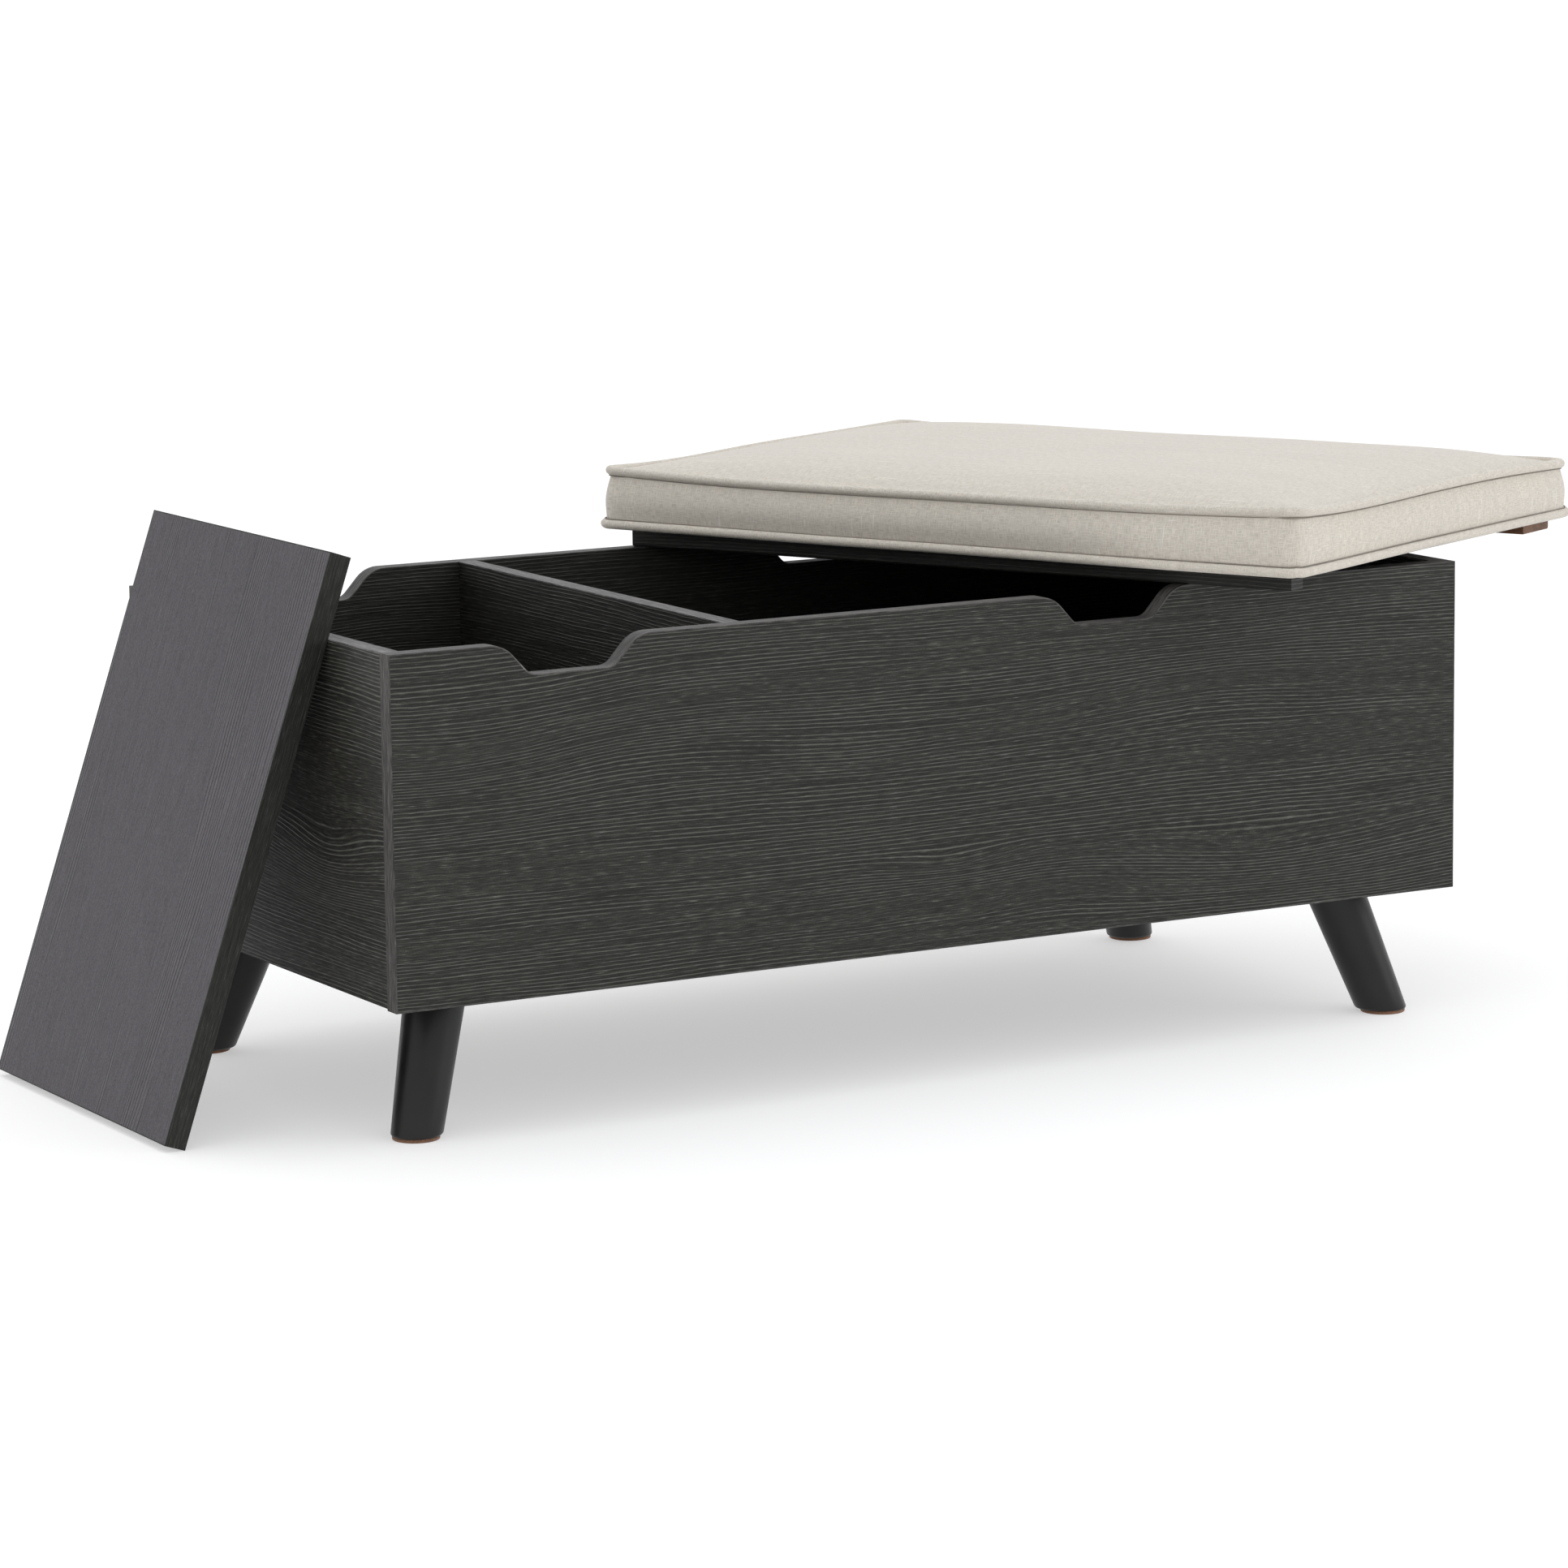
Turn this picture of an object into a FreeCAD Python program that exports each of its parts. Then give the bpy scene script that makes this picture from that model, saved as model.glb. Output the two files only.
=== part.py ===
"""Low storage bench on splayed legs, shown open.

The box has two bays.  A plain lid board belongs over the small bay and stands on the
floor, leaning on the left side of the box.  A cushioned seat board belongs over the
large bay and lies turned across the rims.

Axes: X runs along the box, Y from front to back, Z up.  Pieces are first built from the
box's front left corner on the floor, then everything is moved so that the origin is the
middle of the whole object's footprint.  All sizes are in millimetres.
"""
import FreeCAD
import Part
import math
import os
from FreeCAD import Vector

# ---- box ------------------------------------------------------------------------------
box_length = 1000.0
box_depth = 498.0
box_height = 280.0            # height of the front and back panels
floor_gap = 112.0             # floor to the underside of the front panel
panel = 16.0                  # thickness of every box panel
side_rise = 1.6               # side panels end this much above the front panel's underside
floor_rise = 6.0              # bottom panel sits this much above the front panel's underside
small_bay = 284.0             # clear width of the left bay
band = 1.0                    # edge band thickness

# ---- hand notches in the front and back panels ---------------------------------------
notch_width = 119.0           # across the sharp corners at the rim
notch_flat = 73.0             # across the sharp corners at the notch floor
notch_depth = 25.0
notch_rim_radius = 26.0
notch_floor_radius = 14.0

# ---- legs -----------------------------------------------------------------------------
leg_inset_x = 72.0            # leg axis at the box underside, from the end face
leg_inset_y = 78.0            # and from the front or back face
leg_splay_x = 34.0            # how far the foot stands outside the leg's top
leg_splay_y = 29.0
leg_top_diameter = 50.0
leg_foot_diameter = 41.0
foot_pad = 3.0                # felt pad under each foot
foot_pad_margin = 1.5         # pad edge inside the foot's edge
plate_size = 64.0
plate_thickness = 3.0
plate_corner = 8.0
leg_bolt_diameter = 8.0
leg_bolt_in_leg = 30.0
leg_bolt_in_floor = 10.0

# ---- lid and seat boards --------------------------------------------------------------
top_inset = 9.0               # board edge inside the box's front and back faces, closed
top_thickness = 18.0
lid_past_divider = 27.0       # closed lid's edge beyond the divider
top_gap = 7.0                 # between the closed lid and the closed seat

# ---- lid board, leaning on the left side ----------------------------------------------
lid_lean = 18.8               # degrees from upright
lid_from_front = 107.0        # lid's near edge behind the box's front face
batten_length = 180.0
batten_width = 25.0
batten_height = 15.0
batten_gap = 3.0              # batten to the side panel or the divider, lid closed

# ---- seat board, turned across the rims ----------------------------------------------
seat_shift_x = 186.6          # board's middle to the right of the large bay's middle
seat_shift_y = 65.0           # and behind it
seat_turn = 27.6              # degrees between the board's short side and X
seat_panel = 5.0              # board over the two rails; both make up top_thickness
front_rail_width = 20.0       # rails along the board's long edges, ends left open
rear_rail_width = 50.0
seat_rail_radius = 2.0
tape_width = 25.0             # hook and loop tape
tape_length = 460.0
tape_from_edge = 70.0
tape_thickness = 1.2

# ---- cushion --------------------------------------------------------------------------
cushion_height = 54.0
cushion_over_end = 22.0       # overhang past each short edge of the seat board
cushion_over_front = 27.0     # overhang past the long edge on the front side
cushion_over_rear = 9.0       # overhang past the long edge that carries the zipper
cushion_corner = 18.0
piping_diameter = 8.0
cover_thickness = 1.5
zipper_length = 420.0
zipper_width = 8.0
zipper_thickness = 1.6
zipper_pull_gap = 3.0         # pull tab's end above the bottom piping
zipper_pull_width = 7.0
zipper_pull_thickness = 1.4

# ---- fittings -------------------------------------------------------------------------
cam_diameter = 15.0
cam_height = 12.0
cam_setback = 28.0            # cam centre behind the panel end
cam_bolt_diameter = 6.0
cam_thread_diameter = 5.0
cam_thread_length = 10.0
cam_bore_diameter = 8.0
cover_diameter = 18.0
cover_height = 1.0
dowel_diameter = 8.0
dowel_in_panel = 10.0
dowel_in_end = 20.0
screw_diameter = 4.0
screw_head_diameter = 8.0
screw_head_height = 3.0
plate_screw_length = 12.0
batten_screw_length = 25.0
divider_screw_length = 45.0
rail_screw_length = 14.0
rail_screw_from_end = 60.0

# ---- clearances -----------------------------------------------------------------------
rest_gap = 0.3                # between pieces that only rest on each other
slide_fit = 0.1               # radial, a fitting in its hole
cam_play = 0.2                # a cam above its pocket's floor

# ---- derived --------------------------------------------------------------------------
rim = floor_gap + box_height
bay_front = panel
bay_back = box_depth - panel
divider_left = panel + small_bay
divider_right = divider_left + panel
floor_under = floor_gap + floor_rise
floor_top = floor_under + panel
leg_top = floor_under - plate_thickness
top_depth = box_depth - 2.0 * top_inset
lid_width = divider_right + lid_past_divider
seat_length = box_length - lid_width - top_gap
seat_under = rim + rest_gap
cushion_under = seat_under + top_thickness + rest_gap
piping_radius = piping_diameter / 2.0
zipper_pull_length = cushion_height / 2.0 - piping_diameter - zipper_pull_gap


def box(x0, y0, z0, x1, y1, z1):
    """Block between two corners."""
    return Part.makeBox(x1 - x0, y1 - y0, z1 - z0, Vector(x0, y0, z0))


def rod(start, direction, diameter, length):
    """Round bar from a point along a direction."""
    return Part.makeCylinder(diameter / 2.0, length, start, direction)


def group(shapes):
    """Several separate solids in one node."""
    return Part.makeCompound(shapes)


def cut_all(shape, tools):
    """Shape with every tool taken away."""
    return shape.cut(tools) if tools else shape


def rounded_wire(corners):
    """Closed flat outline from (x, y, radius) corners, with a tangent arc at each radius."""
    edges, ends = [], []
    count = len(corners)
    for i, (x, y, radius) in enumerate(corners):
        here = Vector(x, y, 0)
        before = Vector(*corners[i - 1][:2], 0) - here
        after = Vector(*corners[(i + 1) % count][:2], 0) - here
        before.normalize()
        after.normalize()
        if radius == 0:
            ends.append((here, here))
            continue
        half = before.getAngle(after) / 2.0
        reach = radius / math.tan(half)
        middle = before + after
        middle.normalize()
        start, end = here + before * reach, here + after * reach
        crest = here + middle * (radius / math.sin(half) - radius)
        edges.append(Part.Arc(start, crest, end).toShape())
        ends.append((start, end))
    for i in range(count):
        edges.append(Part.LineSegment(ends[i - 1][1], ends[i][0]).toShape())
    return Part.Wire(Part.__sortEdges__(edges))


def rounded_block(x0, y0, x1, y1, radius, z0, z1):
    """Upright block with rounded corners."""
    corners = [(x0, y0, radius), (x1, y0, radius), (x1, y1, radius), (x0, y1, radius)]
    face = Part.Face(rounded_wire(corners))
    face.translate(Vector(0, 0, z0))
    return face.extrude(Vector(0, 0, z1 - z0))


# ---- box panels -----------------------------------------------------------------------
def notch_centres():
    """Middle of the notch over each bay."""
    return (divider_right / 2.0, (divider_right + box_length) / 2.0)


def long_panel_outline():
    """Outline of the front or back panel in X and Z, with its two notches."""
    corners = [(0, floor_gap, 0), (0, rim, 0)]
    for centre in notch_centres():
        corners += [(centre - notch_width / 2.0, rim, notch_rim_radius),
                    (centre - notch_flat / 2.0, rim - notch_depth, notch_floor_radius),
                    (centre + notch_flat / 2.0, rim - notch_depth, notch_floor_radius),
                    (centre + notch_width / 2.0, rim, notch_rim_radius)]
    corners += [(box_length, rim, 0), (box_length, floor_gap, 0)]
    return rounded_wire(corners)


def upright(face, y):
    """Flat face in X and Y raised to X and Z, and made a panel whose front is at y."""
    face.rotate(Vector(0, 0, 0), Vector(1, 0, 0), 90)
    face.translate(Vector(0, y, 0))
    return face.extrude(Vector(0, panel, 0))


def long_panel(y, inward):
    """Front or back panel and its edge band."""
    outer = Part.Face(long_panel_outline())
    inner = outer.makeOffset2D(-band)
    rim_band = upright(outer.cut(inner), y)
    inside = y + panel if inward > 0 else y
    tools = [cam_thread_hole(x, z, inside, inward) for x, z in long_cam_sites()]
    tools += [dowel_hole(x, z, inside, inward) for x, z in long_dowel_sites()]
    return cut_all(upright(inner, y), tools), rim_band


def cross_panel(x, bottom, cam_side):
    """Side panel or divider with its top band, and holes for its cams and dowels."""
    board = box(x, bay_front, bottom, x + panel, bay_back, rim - band)
    top = box(x, bay_front, rim - band, x + panel, bay_back, rim)
    middle = x + panel / 2.0
    tools = []
    for end, inward in ((bay_front, 1), (bay_back, -1)):
        for z in cross_cam_heights():
            tools += [cam_bore(middle, z, end, inward), cam_pocket(x, z, end, inward, cam_side)]
        tools.append(dowel_bore(middle, cross_dowel_height(), end, inward))
    return board, top, tools


def bottom_panel():
    """Board that closes the box from below, and carries the legs."""
    board = box(panel, bay_front, floor_under, box_length - panel, bay_back, floor_top)
    middle = (floor_under + floor_top) / 2.0
    tools = []
    for end, inward in ((bay_front, 1), (bay_back, -1)):
        for x in floor_cam_places():
            tools += [cam_bore(x, middle, end, inward), floor_cam_pocket(x, end, inward)]
        tools += [dowel_bore(x, middle, end, inward) for x in floor_dowel_places()]
    tools += [divider_screw(y, slide_fit) for y in divider_screw_places()]
    for leg in leg_places():
        tools.append(leg_bolt(leg, slide_fit))
        tools += [plate_screw(at, slide_fit) for at in plate_screw_places(leg)]
    return cut_all(board, tools)


# ---- where the cams and dowels go -----------------------------------------------------
def cross_middles():
    """X of the middle of the left side, the divider and the right side."""
    return (panel / 2.0, divider_left + panel / 2.0, box_length - panel / 2.0)


def cross_cam_heights():
    """Height of the two cams at each end of a side panel or the divider."""
    clear = rim - floor_top
    return (floor_top + clear * 0.22, floor_top + clear * 0.78)


def cross_dowel_height():
    """Height of the dowel between those two cams."""
    return (floor_top + rim) / 2.0


def floor_cam_places():
    """X of the cams along the bottom panel's long edges."""
    large_bay = box_length - panel - divider_right
    return (panel + small_bay / 2.0, divider_right + large_bay * 0.25, divider_right + large_bay * 0.75)


def floor_dowel_places():
    """X of the dowels along the bottom panel's long edges."""
    large_bay = box_length - panel - divider_right
    return (panel + small_bay * 0.25, divider_right + large_bay * 0.5)


def long_cam_sites():
    """X and Z of every cam bolt in the front or back panel."""
    middle = (floor_under + floor_top) / 2.0
    return ([(x, z) for x in cross_middles() for z in cross_cam_heights()]
            + [(x, middle) for x in floor_cam_places()])


def long_dowel_sites():
    """X and Z of every dowel in the front or back panel."""
    middle = (floor_under + floor_top) / 2.0
    return ([(x, cross_dowel_height()) for x in cross_middles()]
            + [(x, middle) for x in floor_dowel_places()])


# ---- cams, cam bolts and dowels -------------------------------------------------------
def cam_thread_hole(x, z, inside, inward):
    """Hole in a long panel's inside face for a cam bolt's thread."""
    return rod(Vector(x, inside, z), Vector(0, -inward, 0), cam_thread_diameter + 2 * slide_fit,
               cam_thread_length + slide_fit)


def dowel_hole(x, z, inside, inward):
    """Hole in a long panel's inside face for a dowel."""
    return rod(Vector(x, inside, z), Vector(0, -inward, 0), dowel_diameter + 2 * slide_fit, dowel_in_panel)


def cam_bore(x, z, end, inward):
    """Bore in a cross panel's end for a cam bolt."""
    return rod(Vector(x, end, z), Vector(0, inward, 0), cam_bore_diameter, cam_setback)


def dowel_bore(x, z, end, inward):
    """Bore in a cross panel's end for a dowel."""
    return rod(Vector(x, end, z), Vector(0, inward, 0), dowel_diameter + 2 * slide_fit, dowel_in_end)


def cam_pocket(x, z, end, inward, cam_side, play=cam_play, fit=slide_fit):
    """Round pocket for a cam in the face of an upright panel whose left face is at x."""
    depth = cam_height + play
    face = x if cam_side < 0 else x + panel
    return rod(Vector(face, end + inward * cam_setback, z), Vector(-cam_side, 0, 0),
               cam_diameter + 2 * fit, depth)


def floor_cam_pocket(x, end, inward, play=cam_play, fit=slide_fit):
    """Round pocket for a cam in the bottom panel's underside."""
    return rod(Vector(x, end + inward * cam_setback, floor_under), Vector(0, 0, 1),
               cam_diameter + 2 * fit, cam_height + play)


def cross_cam_sites():
    """Panel left face, height, end, direction and cam side of every cam in an upright panel."""
    panels = ((0.0, 1), (divider_left, 1), (box_length - panel, -1))
    return [(x, z, end, inward, side) for x, side in panels
            for end, inward in ((bay_front, 1), (bay_back, -1)) for z in cross_cam_heights()]


def floor_cam_sites():
    """X, end and direction of every cam in the bottom panel."""
    return [(x, end, inward) for end, inward in ((bay_front, 1), (bay_back, -1))
            for x in floor_cam_places()]


def cam_slot(middle, deep, inward):
    """Slot in a cam, open at its inner end, that takes the end of a bolt."""
    half = cam_bore_diameter / 2.0
    across = Vector(0, inward, 0).cross(deep)
    first = middle - deep * half - Vector(0, inward, 0) * cam_diameter - across * half
    last = middle + deep * cam_height + Vector(0, inward, 0) * half + across * half
    low = [min(pair) for pair in zip(first, last)]
    high = [max(pair) for pair in zip(first, last)]
    return box(*low, *high)


def cam_locks():
    """Turned cams, each with a slot for its bolt."""
    cams = []
    for x, z, end, inward, side in cross_cam_sites():
        middle = Vector(x + panel / 2.0, end + inward * cam_setback, z)
        cams.append(cam_pocket(x, z, end, inward, side, play=0.0, fit=0.0)
                    .cut(cam_slot(middle, Vector(-side, 0, 0), inward)))
    for x, end, inward in floor_cam_sites():
        middle = Vector(x, end + inward * cam_setback, (floor_under + floor_top) / 2.0)
        cams.append(floor_cam_pocket(x, end, inward, play=0.0, fit=0.0)
                    .cut(cam_slot(middle, Vector(0, 0, 1), inward)))
    return group(cams)


def cam_covers():
    """Thin caps over the cams in the upright panels."""
    caps = []
    for x, z, end, inward, side in cross_cam_sites():
        face = x if side < 0 else x + panel
        caps.append(rod(Vector(face, end + inward * cam_setback, z), Vector(side, 0, 0),
                        cover_diameter, cover_height))
    return group(caps)


def cam_bolts():
    """Bolts screwed into the long panels, one for each cam."""
    bolts = []
    for inside, inward in ((bay_front, 1), (bay_back, -1)):
        for x, z in long_cam_sites():
            thread = rod(Vector(x, inside, z), Vector(0, -inward, 0), cam_thread_diameter, cam_thread_length)
            shank = rod(Vector(x, inside, z), Vector(0, inward, 0), cam_bolt_diameter,
                        cam_setback - slide_fit)
            bolts.append(thread.fuse(shank))
    return group(bolts)


def panel_dowels():
    """Dowels between the long panels and what they meet."""
    length = dowel_in_panel + dowel_in_end - 2 * slide_fit
    pins = []
    for inside, inward in ((bay_front, 1), (bay_back, -1)):
        for x, z in long_dowel_sites():
            start = Vector(x, inside - inward * (dowel_in_panel - slide_fit), z)
            pins.append(rod(start, Vector(0, inward, 0), dowel_diameter, length))
    return group(pins)


def screw(head_at, direction, length, fit):
    """Countersunk screw whose flat head is at a point; a fit makes the hole for it."""
    shank = rod(head_at, direction, screw_diameter + 2 * fit, length + fit)
    head = Part.makeCone(screw_head_diameter / 2.0 + fit, screw_diameter / 2.0 + fit,
                         screw_head_height, head_at, direction)
    return shank.fuse(head)


def divider_screw_places():
    """Y of the screws that hold the divider down."""
    span = bay_back - bay_front
    return [bay_front + span * share for share in (0.15, 0.5, 0.85)]


def divider_screw(y, fit=0.0):
    """Screw up through the bottom panel into the divider."""
    return screw(Vector(divider_left + panel / 2.0, y, floor_under), Vector(0, 0, 1),
                 divider_screw_length, fit)


# ---- legs -----------------------------------------------------------------------------
def leg_places():
    """Name, axis point at the box underside and foot point of each leg."""
    places = []
    for name, side, face in (("front_left", -1, -1), ("front_right", 1, -1),
                             ("back_left", -1, 1), ("back_right", 1, 1)):
        x = leg_inset_x if side < 0 else box_length - leg_inset_x
        y = leg_inset_y if face < 0 else box_depth - leg_inset_y
        places.append((name, Vector(x, y, floor_gap),
                       Vector(x + side * leg_splay_x, y + face * leg_splay_y, 0)))
    return places


def leg_axis(leg):
    """Upward direction of a leg, and the point where it meets the plate."""
    name, upper, foot = leg
    axis = upper - foot
    at_plate = foot + axis * (leg_top / floor_gap)
    axis.normalize()
    return axis, at_plate


def leg_body(leg):
    """Tapered leg, cut level under its plate and on top of its pad, bored for its bolt."""
    axis, at_plate = leg_axis(leg)
    foot = leg[2]
    length = (at_plate - foot).Length
    extra = leg_top_diameter
    growth = (leg_top_diameter - leg_foot_diameter) / 2.0 / length
    cone = Part.makeCone(leg_foot_diameter / 2.0 - growth * extra, leg_top_diameter / 2.0 + growth * extra,
                         length + 2 * extra, foot - axis * extra, axis)
    reach = leg_splay_x + leg_splay_y + leg_top_diameter
    slab = box(foot.x - reach, foot.y - reach, foot_pad, foot.x + reach, foot.y + reach, leg_top)
    return cone.common(slab).cut(leg_bolt(leg, slide_fit))


def leg_bolt(leg, fit=0.0):
    """Bolt along the leg's axis, through its plate and into the bottom panel."""
    axis, at_plate = leg_axis(leg)
    start = at_plate - axis * (leg_bolt_in_leg + fit)
    length = leg_bolt_in_leg + (plate_thickness + leg_bolt_in_floor) / axis.z + 2 * fit
    return rod(start, axis, leg_bolt_diameter + 2 * fit, length)


def plate_screw_places(leg):
    """Four screw heads under a leg plate."""
    _, centre = leg_axis(leg)
    reach = plate_size / 2.0 - screw_head_diameter
    return [Vector(centre.x + sx * reach, centre.y + sy * reach, leg_top)
            for sx in (-1, 1) for sy in (-1, 1)]


def plate_screw(head_at, fit=0.0):
    """Screw through a leg plate into the bottom panel."""
    return screw(head_at, Vector(0, 0, 1), plate_screw_length, fit)


def leg_plate(leg):
    """Steel plate between a leg and the bottom panel."""
    _, centre = leg_axis(leg)
    half = plate_size / 2.0
    plate = rounded_block(centre.x - half, centre.y - half, centre.x + half, centre.y + half,
                          plate_corner, leg_top, floor_under)
    tools = [leg_bolt(leg, slide_fit)] + [plate_screw(at, slide_fit) for at in plate_screw_places(leg)]
    return cut_all(plate, tools)


def foot_pad_of(leg):
    """Round felt pad under a foot."""
    return rod(leg[2], Vector(0, 0, 1), leg_foot_diameter - 2 * foot_pad_margin, foot_pad)


# ---- lid board ------------------------------------------------------------------------
def lid_place():
    """Frame of the leaning lid: X back, Y up its length, Z out of its inner face."""
    lean = math.radians(lid_lean)
    touch = min(rim, top_depth * math.cos(lean))
    foot_x = -touch * math.tan(lean) - rest_gap / math.cos(lean)
    matrix = FreeCAD.Matrix(0, math.sin(lean), math.cos(lean), foot_x,
                            1, 0, 0, lid_from_front,
                            0, math.cos(lean), -math.sin(lean), 0,
                            0, 0, 0, 1)
    return FreeCAD.Placement(matrix)


def board_with_band(width, length, thickness, low):
    """Board core, and the four strips of band round its edges."""
    core = box(band, band, low, width - band, length - band, low + thickness)
    high = low + thickness
    strips = [box(0, 0, low, width, band, high), box(0, length - band, low, width, length, high),
              box(0, band, low, band, length - band, high),
              box(width - band, band, low, width, length - band, high)]
    return core, strips


def batten_places():
    """Corners of the two battens; the lid's outer end is its far edge as it leans."""
    low = (top_depth - batten_length) / 2.0
    near = lid_width - (divider_left - batten_gap)
    far = lid_width - (panel + batten_gap)
    return [(near, low, near + batten_width, low + batten_length),
            (far - batten_width, low, far, low + batten_length)]


def batten_screw_places():
    """Heads of the screws in the battens."""
    return [Vector((x0 + x1) / 2.0, y0 + (y1 - y0) * share, batten_height)
            for x0, y0, x1, y1 in batten_places() for share in (0.12, 0.5, 0.88)]


def batten_screw(head_at, fit=0.0):
    """Screw through a batten into the lid."""
    return screw(head_at, Vector(0, 0, -1), batten_screw_length, fit)


def lid_pieces():
    """Lid board, its band, its battens and their screws, in the lid's own frame."""
    holes = [batten_screw(at, slide_fit) for at in batten_screw_places()]
    core, strips = board_with_band(lid_width, top_depth, top_thickness, -top_thickness)
    battens = [box(x0, y0, 0, x1, y1, batten_height) for x0, y0, x1, y1 in batten_places()]
    return {"lid_board": cut_all(core, holes),
            "lid_edge_band": group(strips),
            "lid_battens": group([cut_all(piece, holes) for piece in battens]),
            "lid_batten_screws": group([batten_screw(at) for at in batten_screw_places()])}


# ---- seat board -----------------------------------------------------------------------
def seat_place(height):
    """Frame of the seat: X along its short side, Y along its long side, Z up."""
    turn = FreeCAD.Rotation(Vector(0, 0, 1), seat_turn)
    middle = Vector((divider_right + box_length - panel) / 2.0 + seat_shift_x,
                    box_depth / 2.0 + seat_shift_y, height)
    return FreeCAD.Placement(middle - turn.multVec(Vector(top_depth / 2.0, seat_length / 2.0, 0)), turn)


def rail_screw_places():
    """Heads of the screws that hold the board down on its rails."""
    span = seat_length - 2.0 * rail_screw_from_end
    return [Vector(x, rail_screw_from_end + span * share, top_thickness)
            for x in (front_rail_width / 2.0, top_depth - rear_rail_width / 2.0)
            for share in (0.0, 1.0 / 3.0, 2.0 / 3.0, 1.0)]


def rail_screw(head_at, fit=0.0):
    """Screw through the seat board into a rail."""
    return screw(head_at, Vector(0, 0, -1), rail_screw_length, fit)


def seat_rail(x0, x1, outer):
    """Rail under the seat board, its lower outside edge rounded."""
    rail = box(x0, 0, 0, x1, seat_length, top_thickness - seat_panel)
    lower = [e for e in rail.Edges if e.BoundBox.ZMax < 1e-6
             and abs(e.BoundBox.XMin - outer) < 1e-6 and abs(e.BoundBox.XMax - outer) < 1e-6]
    return rail.makeFillet(seat_rail_radius, lower)


def tape_places():
    """Corners of the two tape strips that hold the cushion."""
    start = (seat_length - tape_length) / 2.0
    return [(x, start, x + tape_width, start + tape_length)
            for x in (tape_from_edge, top_depth - tape_from_edge - tape_width)]


def seat_pieces():
    """Seat board, band, rails, screws and loop tape, in the seat's frame."""
    holes = [rail_screw(at, slide_fit) for at in rail_screw_places()]
    core, strips = board_with_band(top_depth, seat_length, seat_panel, top_thickness - seat_panel)
    loops = [box(x0, y0, top_thickness - tape_thickness, x1, y1, top_thickness)
             for x0, y0, x1, y1 in tape_places()]
    return {"seat_board": cut_all(core, holes + loops),
            "seat_edge_band": group(strips),
            "seat_front_rail": cut_all(seat_rail(0.0, front_rail_width, 0.0), holes),
            "seat_rear_rail": cut_all(seat_rail(top_depth - rear_rail_width, top_depth, top_depth), holes),
            "seat_rail_screws": group([rail_screw(at) for at in rail_screw_places()]),
            "seat_loop_tape": group(loops)}


# ---- cushion --------------------------------------------------------------------------
def cushion_outline(inset):
    """Low and high corners and corner radius of the cushion, drawn in by an inset."""
    return (-cushion_over_front + inset, -cushion_over_end + inset,
            top_depth + cushion_over_rear - inset, seat_length + cushion_over_end - inset,
            cushion_corner - inset)


def cushion_block(inset, low, high):
    """Rounded block of the cushion's outline, drawn in by an inset."""
    x0, y0, x1, y1, radius = cushion_outline(inset)
    return rounded_block(x0, y0, x1, y1, radius, low, high)


def piping_ring(height):
    """Round cord sewn along the cushion's outline, its middle at a height."""
    x0, y0, x1, y1, radius = cushion_outline(piping_radius)
    path = rounded_wire([(x0, y0, radius), (x1, y0, radius), (x1, y1, radius), (x0, y1, radius)])
    path.translate(Vector(0, 0, height))
    middle = Vector((x0 + x1) / 2.0, y0, height)
    profile = Part.Wire(Part.makeCircle(piping_radius, middle, Vector(1, 0, 0)))
    return path.makePipeShell([profile], True, True)


def zipper_tape():
    """Closed zipper along the cushion's rear side."""
    wall = top_depth + cushion_over_rear - piping_radius
    start = (seat_length - zipper_length) / 2.0
    middle = cushion_height / 2.0
    return box(wall - zipper_thickness / 2.0, start, middle - zipper_width / 2.0,
               wall + zipper_thickness / 2.0, start + zipper_length, middle + zipper_width / 2.0)


def zipper_pull():
    """Pull tab hanging from the zipper's end."""
    wall = top_depth + cushion_over_rear - piping_radius + zipper_thickness / 2.0
    y = (seat_length - zipper_length) / 2.0 + zipper_pull_width
    top = cushion_height / 2.0
    return box(wall, y, top - zipper_pull_length, wall + zipper_pull_thickness,
               y + zipper_pull_width, top)


def cushion_pieces():
    """Foam, cover, piping, zipper and hook tape, in the seat's frame from the cushion's base."""
    foam = cushion_block(piping_radius + cover_thickness, cover_thickness, cushion_height - cover_thickness)
    lower, upper = piping_ring(piping_radius), piping_ring(cushion_height - piping_radius)
    hooks = [box(x0, y0, 0, x1, y1, tape_thickness) for x0, y0, x1, y1 in tape_places()]
    cover = cushion_block(piping_radius, 0, cushion_height)
    cover = cut_all(cover, [foam, lower, upper, zipper_tape()] + hooks)
    return {"cushion_foam": cut_all(foam, [lower, upper]),
            "cushion_cover": cover,
            "cushion_piping_bottom": lower,
            "cushion_piping_top": upper,
            "cushion_zipper": zipper_tape(),
            "cushion_zipper_pull": zipper_pull(),
            "cushion_hook_tape": group(hooks)}


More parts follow.
